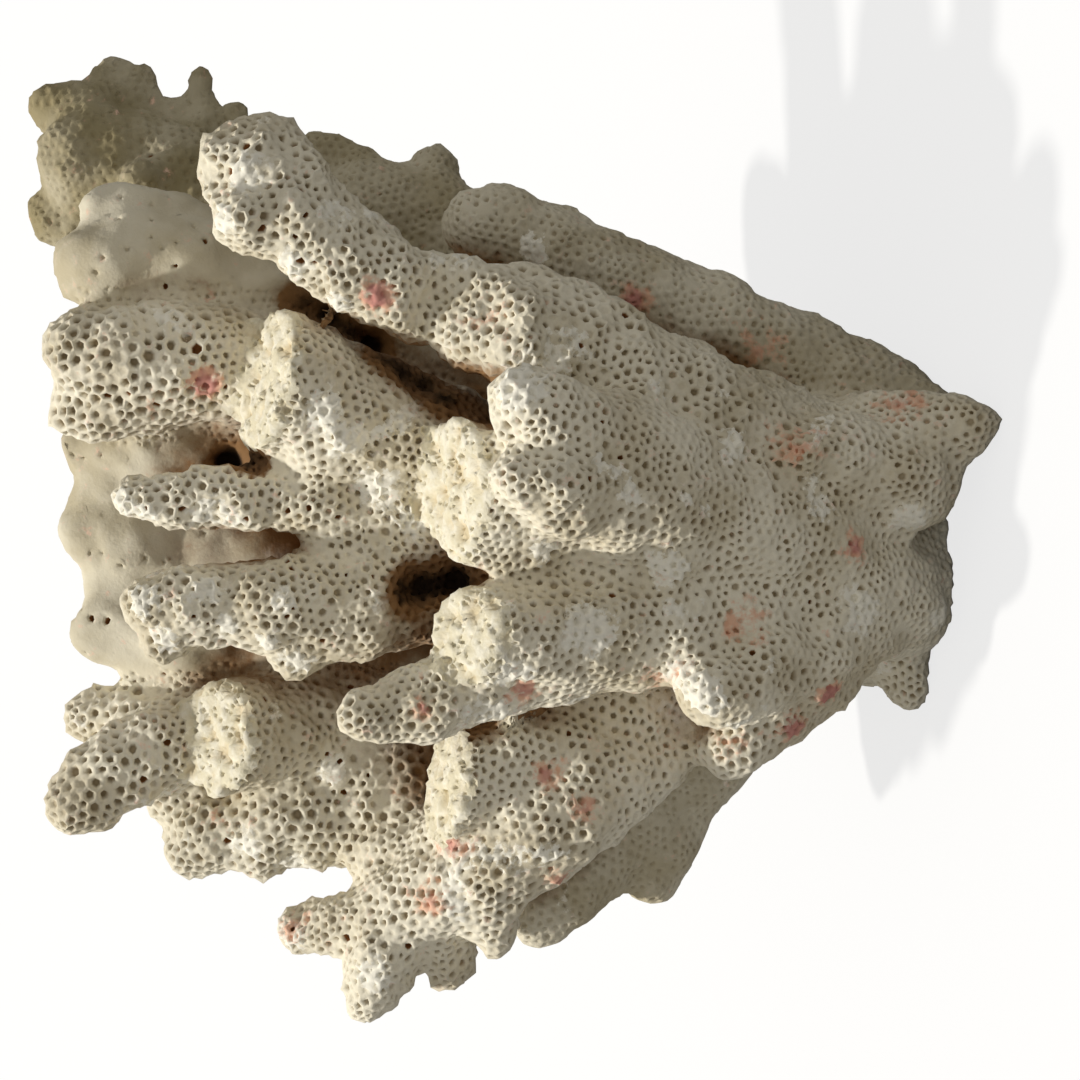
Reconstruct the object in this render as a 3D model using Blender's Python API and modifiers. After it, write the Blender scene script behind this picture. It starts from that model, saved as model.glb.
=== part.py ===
"""A piece of bleached branching coral, standing on the flat cut where it was taken from its rock.

The colony grew as one skeleton. It is split here at its main forks, so that each limb is one closed solid.
Every limb is a string of overlapping balls along a smooth route, melted into one skin. Later limbs are
trimmed back from the earlier ones that they grow out of, with a hair gap between the two.
"""

import math

import bmesh
import bpy
from mathutils import Matrix, Vector, noise

# Driving dimensions. Lengths in the tables are millimetres, and MM turns them into metres.
MM = 0.001
VIEW_TILT = math.radians(20)  # how far above the horizon the coral was measured from
VIEW_DISTANCE = 350.0  # from the eye to the measuring plane
PLANE_CENTRE_UP = 55.6  # height in the measuring plane of the point straight ahead of the eye
CUT_SETBACK = 27.0  # how far the middle of the cut lies behind the foot of the measuring plane

SKIN_GRAIN = 1.1  # size of the cells in which balls are melted together
SKIN_EASING = 3  # rounds of smoothing on the melted skin
BEAD_SPACING = 0.3  # distance between balls, as a share of their radius
FORK_GAP = 0.35  # space left between a limb and the one that it grows from
FACET_AREA = 22.5  # area of one triangle, in square millimetres, on a limb of the plain radius
PLAIN_RADIUS = 8.0  # thinner limbs have smaller triangles in proportion, and thicker ones larger
LUMP_SIZE = 14.0  # distance between the soft swellings along a limb
LUMP_DEPTH = 0.10  # how much a swelling changes the radius, as a share of it

BALL_FACETS = 2  # times that a ball's faces are divided
BREAK_DEPTH = 30.0  # length of the bite that takes off a limb's end
BREAK_SIDES = 14  # sides of that bite
GROUND_BLOCK = 0.2  # side in metres of the block that cuts the foot flat

BONE_WHITE = (0.78, 0.74, 0.64)
CREAM = (0.86, 0.80, 0.62)
ROUGHNESS = 0.9


def seen(across, up, near):
    """A point in metres from where it is seen on the measuring plane, and how far it stands in front."""
    shrink = 1.0 - near / VIEW_DISTANCE
    across *= shrink
    up = PLANE_CENTRE_UP + (up - PLANE_CENTRE_UP) * shrink
    back = up * math.sin(VIEW_TILT) - near * math.cos(VIEW_TILT) - CUT_SETBACK
    height = up * math.cos(VIEW_TILT) + near * math.sin(VIEW_TILT)
    return Vector((across, back, height)) * MM


# Each stroke is a list of (across, up, near, radius), with across to the right of the standing coral.
# A break is (across, up, near), the direction that it faces in the same terms, and its reach.
LIMBS = {
    "base": {
        "strokes": [
            [(-2, 6, -28, 17), (-1, 20, -22, 17), (0, 32, -14, 15.5), (1, 43, -8, 12)],
            [(14.6, 2, 3, 3.8), (13, 6, 0, 5.4), (10, 14, -4, 9), (8, 22, -6, 10)],
            [(-6, 8, -14, 7), (-6, 18, -6, 11), (-4, 30, 0, 12), (2, 40, 4, 11)],
            [(-10, 12, -16, 5.5), (-16.5, 10, -16, 4), (-19, 9.5, -16, 3)],
            [(-6, 8, -14, 5), (-6.5, 5.5, -15, 3.2)],
            [(8, 10, 0, 7), (10.5, 19, 5, 6), (10.8, 22.5, 7, 5)],
        ],
    },
    "upper_limb": {
        "strokes": [
            [(7, 24, -2, 11), (13.5, 35.6, 6, 10), (21.5, 48, 10, 8.8), (26.5, 58, 12, 8),
             (29, 66, 13, 6.6), (32.5, 75, 14, 6.2), (37.5, 83, 15, 6.4), (43, 89.6, 16, 6.6),
             (45.4, 93, 16, 5.6)],
            [(44, 89, 16, 6), (48, 93.4, 16, 4.8), (48.6, 95, 16, 3.8)],
            [(44, 87, 16, 6), (49, 89.6, 15, 4.6), (50.6, 90.2, 15, 3.6)],
            [(41, 87, 17, 6), (40.4, 91, 18, 5), (40.4, 92.6, 18, 4.2)],
            [(25, 56, 12, 6.6), (26.4, 59, 16.5, 6.2), (27, 61, 18, 5.8)],
        ],
        "breaks": [
            ((27.8, 63.6, 18), (0.2, 0.55, 1), 7),
        ],
    },
    "rear_upper_limb": {
        "strokes": [
            [(14.6, 6.9, -10, 4.8), (18.2, 13.1, -13, 5.8), (21.6, 21.9, -14, 6.2), (24.2, 28.1, -14, 6.6),
             (27.6, 35.6, -13, 6.8), (31.2, 45.6, -12, 6.6), (35.2, 53.1, -11, 6.6), (38.4, 60, -10, 5.8),
             (39.2, 63, -9, 5.2)],
        ],
    },
    "far_upper_limb": {
        "strokes": [
            [(8, 22, -34, 10), (22, 42, -37, 9), (33, 58, -37, 8), (40, 70, -36, 6.5), (42, 78, -35, 5.5)],
            [(41, 70, -37, 4.4), (46, 69, -38, 3.8)],
            [(41, 74, -37, 4.4), (46, 78, -38, 3.6), (48.6, 83, -38, 3)],
        ],
    },
    "crest_stem": {
        "strokes": [
            [(4, 30, -30, 10), (14, 52, -32, 9.5), (26, 74, -32, 9), (37, 91, -31, 8.5), (44, 102, -30, 9)],
        ],
    },
    "far_back_branch": {
        "strokes": [[(26, 48, -38, 7), (24, 58, -46, 5.6), (27, 66, -49, 4)]],
    },
    "crest_back_branch": {
        "strokes": [[(22, 66, -32, 7), (16, 78, -39, 6), (16, 88, -43, 4.8)]],
    },
    "crest_knobs": {
        "strokes": [
            [(43, 101, -30, 8.6), (46, 106, -30, 7.8), (47, 112, -28, 6.6)],
            [(49, 109, -30, 5), (53, 112, -30, 4.4), (54, 116, -30, 3.6)],
            [(50, 106.6, -31, 4), (56, 108.2, -32, 2.8), (58.4, 108.6, -32, 2.3)],
            [(50, 104.6, -31, 3.6), (55, 105.4, -32, 2.4), (57.4, 105.4, -32, 2)],
            [(49, 102, -30, 3), (53, 102.4, -31, 2.2), (55.2, 102.4, -31, 1.9)],
            [(47, 97.4, -29, 3.4), (52, 97.6, -30, 2.2), (57.4, 97.9, -31, 2)],
            [(44, 92.4, -29, 3.2), (50, 92.6, -30, 2.2), (53.8, 93, -30, 1.9)],
            [(43, 104, -26, 5), (44.4, 105.2, -21, 3), (45.5, 105.4, -19, 2.4)],
            [(42, 106, -30, 5), (40, 113, -31, 4.2), (40, 117, -31, 3.4)],
        ],
    },
    "smooth_limb": {
        "strokes": [
            [(6, 36, -20, 10), (15, 58, -18, 9), (24, 76, -14, 8), (32, 90, -8, 7.6), (35, 102, -4, 7.2),
             (34, 110, -2, 6.2)],
            [(35, 98, -6, 6), (40.5, 105, -4, 4), (41, 110, -4, 3.4)],
        ],
    },
    "pitted_limb": {
        "strokes": [
            [(8, 60, -14, 8), (16, 78, -8, 8), (21.5, 93, 0, 7.6), (22.5, 105, 3, 7.4), (23.6, 112, 4, 6)],
            [(20, 100, 2, 6), (17, 110, 2, 4.6), (16, 114, 2, 3.8)],
        ],
    },
    "web": {
        "strokes": [
            [(6, 50, -18, 9), (9, 70, -14, 8), (11, 90, -10, 7.4), (12, 104, -8, 6), (12, 111, -9, 4.6)],
            [(4, 62, -17, 8), (5, 80, -14, 7.4), (6, 98, -12, 6.4), (6.6, 109, -11, 5)],
            [(-2, 50, -18, 9), (-2, 70, -15, 8), (-2, 90, -12, 7.4), (-1, 103, -11, 6.2),
             (1, 111, -11, 4.8)],
            [(-7, 62, -18, 8), (-7.4, 80, -15, 7.2), (-7, 97, -13, 6.4), (-5, 108, -12, 5)],
            [(-10, 50, -18, 9), (-12, 70, -15, 8), (-13, 88, -12, 7), (-12, 104, -11, 5.6),
             (-11, 110, -11, 4.4)],
            [(-2, 70, -16, 7), (-5, 84, -22, 6), (-7, 94, -26, 4.6)],
        ],
    },
    "broken_limb": {
        "strokes": [
            [(4, 46, -4, 10), (7, 60, 0, 9.6), (12, 73, 5, 9.4), (18, 85, 9, 9.2), (22, 93, 12, 9)],
        ],
        "breaks": [((20.4, 90.2, 11), (0.25, 1, 0.5), 16)],
    },
    "hand_palm": {
        "strokes": [
            [(0, 44, -6, 9), (-1, 58, -1, 9), (-1, 70, 2, 8.6), (0, 78, 4, 7)],
            [(-1, 60, 0, 8), (-7, 74, 4, 7.6), (-9, 82, 6, 6.6)],
        ],
    },
    "hand_upper_finger": {
        "strokes": [
            [(3, 74, 5, 6), (5, 82, 7, 5), (5.4, 92, 8.5, 4.4), (5, 102, 9, 3.8), (5.5, 107, 9, 2.8)],
        ],
    },
    "hand_lower_finger": {
        "strokes": [
            [(-7, 78, 6, 7), (-8, 88, 8, 6.4), (-8, 98, 9, 5.2), (-8.4, 104.6, 9, 4)],
            [(-10, 84, 6, 5.4), (-14, 86.5, 6, 3.4)],
            [(-9, 98, 8, 4.4), (-12.6, 102.5, 8, 3.2)],
        ],
    },
    "front_limb": {
        "strokes": [
            [(0, 24, -2, 12), (3, 34, 5, 12.5), (6, 43, 12, 11.5), (8, 48, 16, 9.5)],
        ],
    },
    "front_upper_knob": {
        "strokes": [[(8, 43, 16, 9.4), (12, 50, 21, 7.8), (15.4, 55.4, 25, 6), (17, 58, 26, 4.8)]],
    },
    "front_small_finger": {
        "strokes": [[(6.6, 44, 18, 8), (6.2, 50, 23, 6.4), (7, 55, 27, 5), (7.6, 58.4, 28, 3.8)]],
    },
    "front_broken_finger": {
        "strokes": [
            [(2, 44, 9, 10), (5, 54, 14, 9), (6.2, 62, 17, 9), (7, 72, 19, 9)],
            [(0, 50, 12, 6), (0, 58, 17, 5), (0.5, 64, 18, 4)],
        ],
        "breaks": [((6.2, 66.4, 19), (0, 1, 0.5), 16)],
    },
    "lower_front_limb": {
        "strokes": [
            [(-7, 24, -2, 11), (-9, 35.6, 5, 10), (-10.6, 45.6, 11, 8.4), (-11.4, 54, 16, 6.8),
             (-11.6, 62, 19, 6), (-11.4, 72, 22, 6)],
        ],
        "breaks": [((-11.4, 64.4, 21), (0.1, 1, 1), 11)],
    },
    "lower_front_finger": {
        "strokes": [[(-14, 50, 11, 6), (-17, 61, 14, 5.4), (-20.4, 71, 16, 5), (-22, 77, 17, 4)]],
    },
    "lower_limb": {
        "strokes": [
            [(-12, 26, -6, 11), (-18, 38, -4, 9.4), (-23, 48, 0, 8), (-27, 58, 4, 7.2), (-31.6, 70, 8, 6.6)],
        ],
        "breaks": [((-30.6, 67.4, 8), (0.1, 1, 0.45), 13)],
    },
    "bottom_limb": {
        "strokes": [
            [(-20, 38, -5, 8), (-27, 45, 1, 7.2), (-33, 51, 5, 7), (-39, 59, 4, 6.8), (-44, 68, 1, 6.2),
             (-47, 75, -3, 5.4)],
            [(-38, 64, 1, 5.4), (-38.6, 72, -4, 4.6), (-39, 76, -6, 4)],
            [(-46, 62, 2, 4.4), (-49.6, 61.5, 1, 3)],
        ],
    },
    "bottom_fingers": {
        "strokes": [
            [(-47, 74, -2, 5), (-48, 81, -5, 4), (-48.4, 86, -7, 3.2)],
            [(-48, 73, -1, 5), (-53, 75.5, -1, 4.6), (-56.6, 76.5, -2, 3.8)],
            [(-48, 70, -2, 4.4), (-52, 67, -5, 3.8), (-53.4, 66.4, -5, 3.2)],
        ],
    },
    "rear_bottom_limb": {
        "strokes": [
            [(-11, 22, -16, 9), (-18, 30, -18, 9), (-26, 37, -20, 8.2), (-34, 40.6, -20, 6.6),
             (-41, 41.4, -20, 4.4)],
            [(-26, 38, -19, 8), (-37, 47, -17, 6.6), (-44, 53, -14, 5), (-47.6, 56, -13, 3.8)],
        ],
    },
    "side_nub": {
        "strokes": [
            [(-11, 18, -2, 7), (-15.6, 26, 8, 6), (-18.8, 34, 14, 5)],
            [(-17, 22, 0, 6), (-22, 28, 3, 5.4), (-25.6, 32, 5, 4.4)],
        ],
    },
    "left_stem": {
        "strokes": [
            [(-10, 50, -22, 9), (-16, 68, -18, 8), (-21, 80, -12, 7.8), (-24, 90, -4, 7.6),
             (-25, 100, 3, 7.4)],
        ],
        "breaks": [((-24.6, 94.2, 3.4), (0, 1, 0.9), 13)],
    },
    "left_outer_limb": {
        "strokes": [
            [(-17, 76, -17, 7), (-21, 88, -13, 6.6), (-24, 98, -8, 6.2), (-28, 107, -5, 5.8),
             (-32, 113, -4, 4.8)],
            [(-24, 100, -9, 5.4), (-22, 108, -12, 4.2), (-22, 112, -13, 3.4)],
        ],
    },
    "left_lower_limb": {
        "strokes": [
            [(-14, 50, -22, 9), (-24, 64, -14, 8), (-30, 74, -10, 7.6), (-34, 86, -10, 7), (-36, 96, -12, 6)],
            [(-36, 96, -12, 5), (-38.6, 99, -12, 4.2)],
            [(-36, 88, -10, 5), (-39.6, 90, -9, 3.4)],
            [(-35, 82, -10, 5), (-38, 84, -9, 4)],
            [(-34, 98, -12, 4.4), (-32.5, 102, -12, 3.2)],
        ],
    },
    "back_upper_limb": {
        "strokes": [
            [(4, 22, -36, 10), (12, 40, -45, 9), (18, 54, -50, 7.6), (21, 68, -52, 6.4), (22, 79, -51, 4.8)],
            [(16, 52, -50, 6.6), (8, 64, -56, 5.6), (6, 74, -58, 4.4)],
        ],
    },
    "back_middle_limb": {
        "strokes": [
            [(-4, 20, -36, 10), (-5, 40, -44, 9), (-4, 60, -46, 7.8), (-2, 78, -45, 6.4), (-4, 91, -43, 5)],
            [(-4, 58, -47, 6.4), (4, 68, -53, 5.4), (3, 80, -56, 4.2)],
        ],
    },
    "back_lower_limb": {
        "strokes": [
            [(-9, 20, -34, 9), (-16, 36, -38, 8), (-22, 52, -40, 7), (-25, 66, -40, 6), (-27, 78, -38, 4.8)],
            [(-22, 52, -40, 6), (-30, 60, -43, 5.2), (-33, 68, -44, 4)],
        ],
    },
}


def object_of(name, mesh):
    made = bpy.data.objects.new(name, mesh)
    bpy.context.scene.collection.objects.link(made)
    return made


def settled(made):
    """The object with its modifiers worked out, as a plain mesh under the same name."""
    bpy.context.view_layer.update()
    graph = bpy.context.evaluated_depsgraph_get()
    mesh = bpy.data.meshes.new_from_object(made.evaluated_get(graph))
    name = made.name
    bpy.data.objects.remove(made)
    return object_of(name, mesh)


def rounded_route(stroke):
    """Closely spaced (place in metres, radius in metres) along a smooth curve through a stroke's points."""
    knots = [(seen(a, u, n), r * (1 - n / VIEW_DISTANCE) * MM) for a, u, n, r in stroke]
    ends = [knots[0]] + knots + [knots[-1]]
    route = []
    for before, start, end, after in zip(ends, ends[1:], ends[2:], ends[3:]):
        length = (end[0] - start[0]).length
        count = max(2, math.ceil(length / (BEAD_SPACING * min(start[1], end[1]))))
        for step in range(count):
            t = step / count
            weights = (
                -0.5 * t + t * t - 0.5 * t**3,
                1 - 2.5 * t * t + 1.5 * t**3,
                0.5 * t + 2 * t * t - 1.5 * t**3,
                -0.5 * t * t + 0.5 * t**3,
            )
            knots_near = (before, start, end, after)
            place = sum((w * k[0] for w, k in zip(weights, knots_near)), Vector())
            route.append((place, start[1] + (end[1] - start[1]) * t))
    route.append(knots[-1])
    return route


def swollen(place, radius):
    """The radius with the soft swellings of a living limb."""
    return radius * (1 + LUMP_DEPTH * noise.noise(place / (LUMP_SIZE * MM)))


def beads(name, strokes):
    form = bmesh.new()
    for stroke in strokes:
        for place, radius in rounded_route(stroke):
            bmesh.ops.create_icosphere(
                form,
                subdivisions=BALL_FACETS,
                radius=swollen(place, radius),
                matrix=Matrix.Translation(place),
            )
    mesh = bpy.data.meshes.new(name)
    form.to_mesh(mesh)
    form.free()
    return object_of(name, mesh)


def facet_area(strokes):
    """The area of one triangle that suits the average thickness of a limb."""
    radii = [radius for stroke in strokes for *_, radius in stroke]
    return FACET_AREA * MM * MM * sum(radii) / len(radii) / PLAIN_RADIUS


def melted(made, facet):
    """The balls melted into one skin, eased, and brought down to few facets."""
    skin = made.modifiers.new("skin", "REMESH")
    skin.mode = "VOXEL"
    skin.voxel_size = SKIN_GRAIN * MM
    ease = made.modifiers.new("ease", "SMOOTH")
    ease.iterations = SKIN_EASING
    made = settled(made)
    area = sum(face.area for face in made.data.polygons)
    thin = made.modifiers.new("thin", "DECIMATE")
    thin.ratio = min(1.0, area / facet / (2 * len(made.data.polygons)))
    thin.use_collapse_triangulate = True
    return settled(made)


def cut_away(made, cutter):
    """The object with the cutter's volume taken out of it."""
    bite = made.modifiers.new("bite", "BOOLEAN")
    bite.operation = "DIFFERENCE"
    bite.object = cutter
    made = settled(made)
    bpy.data.objects.remove(cutter)
    return made


def largest_body(made):
    """Trimming can leave crumbs beyond the trunk. Only the largest body is kept."""
    form = bmesh.new()
    form.from_mesh(made.data)
    bmesh.ops.triangulate(form, faces=form.faces)
    bodies = []
    unseen = set(form.verts)
    while unseen:
        stack = [unseen.pop()]
        body = set(stack)
        while stack:
            for edge in stack.pop().link_edges:
                for vertex in edge.verts:
                    if vertex in unseen:
                        unseen.remove(vertex)
                        body.add(vertex)
                        stack.append(vertex)
        bodies.append(body)
    bodies.sort(key=len)
    crumbs = [vertex for body in bodies[:-1] for vertex in body]
    bmesh.ops.delete(form, geom=crumbs, context="VERTS")
    form.to_mesh(made.data)
    form.free()
    return made


def break_cutter(place, facing, reach):
    """A short cylinder whose end face is the broken surface."""
    start = seen(*place)
    across, up, near = facing
    middle = seen(0, PLANE_CENTRE_UP, 0)
    outward = (seen(across, PLANE_CENTRE_UP + up, near) - middle).normalized()
    form = bmesh.new()
    bmesh.ops.create_cone(
        form,
        cap_ends=True,
        segments=BREAK_SIDES,
        radius1=reach * MM,
        radius2=reach * MM,
        depth=BREAK_DEPTH * MM,
    )
    turn = outward.to_track_quat("Z", "Y").to_matrix().to_4x4()
    half = Matrix.Translation(outward * BREAK_DEPTH * MM / 2)
    form.transform(Matrix.Translation(start) @ half @ turn)
    mesh = bpy.data.meshes.new("break")
    form.to_mesh(mesh)
    form.free()
    return object_of("break", mesh)


def ground_block():
    """The block under the cut. Its top face is the level that the coral stands on."""
    form = bmesh.new()
    bmesh.ops.create_cube(form, size=GROUND_BLOCK)
    form.transform(Matrix.Translation((0, 0, -GROUND_BLOCK / 2)))
    mesh = bpy.data.meshes.new("ground")
    form.to_mesh(mesh)
    form.free()
    return object_of("ground", mesh)


def fattened(made):
    """A copy that stands out from its original by the fork gap, to trim the next limb with."""
    copy = object_of(made.name + "_trim", made.data.copy())
    swell = copy.modifiers.new("swell", "DISPLACE")
    swell.strength = FORK_GAP * MM
    swell.mid_level = 0.0
    return settled(copy)


def box_of(made):
    corners = [made.matrix_world @ vertex.co for vertex in made.data.vertices]
    low = Vector(map(min, zip(*corners)))
    high = Vector(map(max, zip(*corners)))
    return low, high


def boxes_meet(first, second):
    (low_a, high_a), (low_b, high_b) = box_of(first), box_of(second)
    gap = FORK_GAP * MM
    return all(low_a[i] < high_b[i] + gap and low_b[i] < high_a[i] + gap for i in range(3))


def coral_material(name, colour):
    made = bpy.data.materials.new(name)
    made.use_nodes = True
    surface = made.node_tree.nodes["Principled BSDF"]
    surface.inputs["Base Color"].default_value = (*colour, 1)
    surface.inputs["Roughness"].default_value = ROUGHNESS
    surface.inputs["Metallic"].default_value = 0.0
    return made


def limb_form(name, facts):
    """The whole form of a limb, with its ends broken off, before it is trimmed at its fork."""
    made = melted(beads(name, facts["strokes"]), facet_area(facts["strokes"]))
    for place, facing, reach in facts.get("breaks", []):
        made = cut_away(made, break_cutter(place, facing, reach))
    return made


def trimmed_limb(name, form, earlier_forms, colour):
    """One closed limb, trimmed back from the forms made before its own."""
    made = object_of(name, form.data.copy())
    if box_of(made)[0].z < 0:
        made = cut_away(made, ground_block())
    for other in earlier_forms:
        if boxes_meet(made, other):
            made = cut_away(made, fattened(other))
    made = largest_body(made)
    made.data.materials.clear()
    made.data.materials.append(coral_material(name, colour))
    return made


def coral():
    """All limbs, from the base outwards, in a collection of their own."""
    for left_over in list(bpy.data.objects):
        bpy.data.objects.remove(left_over)
    colony = bpy.data.collections.new("branching_coral")
    bpy.context.scene.collection.children.link(colony)
    forms = []
    for name, facts in LIMBS.items():
        form = limb_form(name + "_form", facts)
        colour = CREAM if facts.get("breaks") else BONE_WHITE
        made = trimmed_limb(name, form, forms, colour)
        bpy.context.scene.collection.objects.unlink(made)
        colony.objects.link(made)
        forms.append(form)
    for form in forms:
        bpy.data.objects.remove(form)


coral()
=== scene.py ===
"""The looks of a bleached branching coral: a pitted skin grown over the limbs, and the stage it stands on.

The limbs are strings of balls along smooth routes, the same ones that the solid model has. They are
melted into one skin with filleted forks. The skin is covered evenly with cells, one for each corallite,
and every cell is opened into a pit. The skin is then shared out into one closed piece for each branch.
"""

import math

import bmesh
import bpy
import numpy as np
from bpy.props import FloatProperty, FloatVectorProperty, IntProperty, PointerProperty
from mathutils import Matrix, Vector, noise
from mathutils.bvhtree import BVHTree


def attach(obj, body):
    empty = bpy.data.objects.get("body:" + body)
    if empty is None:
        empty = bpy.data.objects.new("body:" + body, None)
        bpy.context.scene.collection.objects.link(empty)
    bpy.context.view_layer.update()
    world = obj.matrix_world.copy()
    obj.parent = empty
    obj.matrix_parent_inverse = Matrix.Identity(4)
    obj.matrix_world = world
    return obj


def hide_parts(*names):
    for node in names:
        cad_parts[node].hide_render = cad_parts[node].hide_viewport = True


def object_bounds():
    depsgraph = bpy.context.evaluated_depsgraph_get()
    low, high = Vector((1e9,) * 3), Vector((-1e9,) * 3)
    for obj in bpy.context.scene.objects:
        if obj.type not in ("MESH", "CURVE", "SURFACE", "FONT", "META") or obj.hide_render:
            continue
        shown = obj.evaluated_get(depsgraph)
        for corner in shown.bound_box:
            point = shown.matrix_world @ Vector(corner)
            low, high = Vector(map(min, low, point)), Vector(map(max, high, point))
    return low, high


bl_info = {
    "name": "Bleached branching coral",
    "version": (1, 0, 0),
    "blender": (4, 5, 0),
    "location": "View3D > Sidebar > Coral",
    "description": "Grows the pitted skin of a branching coral over its limbs",
    "category": "Object",
}

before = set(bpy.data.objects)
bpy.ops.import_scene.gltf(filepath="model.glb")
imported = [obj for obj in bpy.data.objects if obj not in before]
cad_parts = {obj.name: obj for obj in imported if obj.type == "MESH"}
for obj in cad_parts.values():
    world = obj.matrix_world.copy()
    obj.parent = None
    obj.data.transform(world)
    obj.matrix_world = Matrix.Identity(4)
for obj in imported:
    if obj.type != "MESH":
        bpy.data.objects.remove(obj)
CAD_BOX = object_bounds()

MM = 0.001

# How the coral was measured: lengths in millimetres on a plane in front of the eye.
VIEW_TILT = math.radians(20)
VIEW_DISTANCE = 350.0
PLANE_CENTRE_UP = 55.6
CUT_SETBACK = 27.0
PLANE_WIDTH = 135.0  # what the camera's frame spans on the measuring plane


def seen(across, up, near):
    """A point in metres from where it is seen on the measuring plane, and how far it stands in front."""
    shrink = 1.0 - near / VIEW_DISTANCE
    across *= shrink
    up = PLANE_CENTRE_UP + (up - PLANE_CENTRE_UP) * shrink
    back = up * math.sin(VIEW_TILT) - near * math.cos(VIEW_TILT) - CUT_SETBACK
    height = up * math.cos(VIEW_TILT) + near * math.sin(VIEW_TILT)
    return Vector((across, back, height)) * MM


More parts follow.
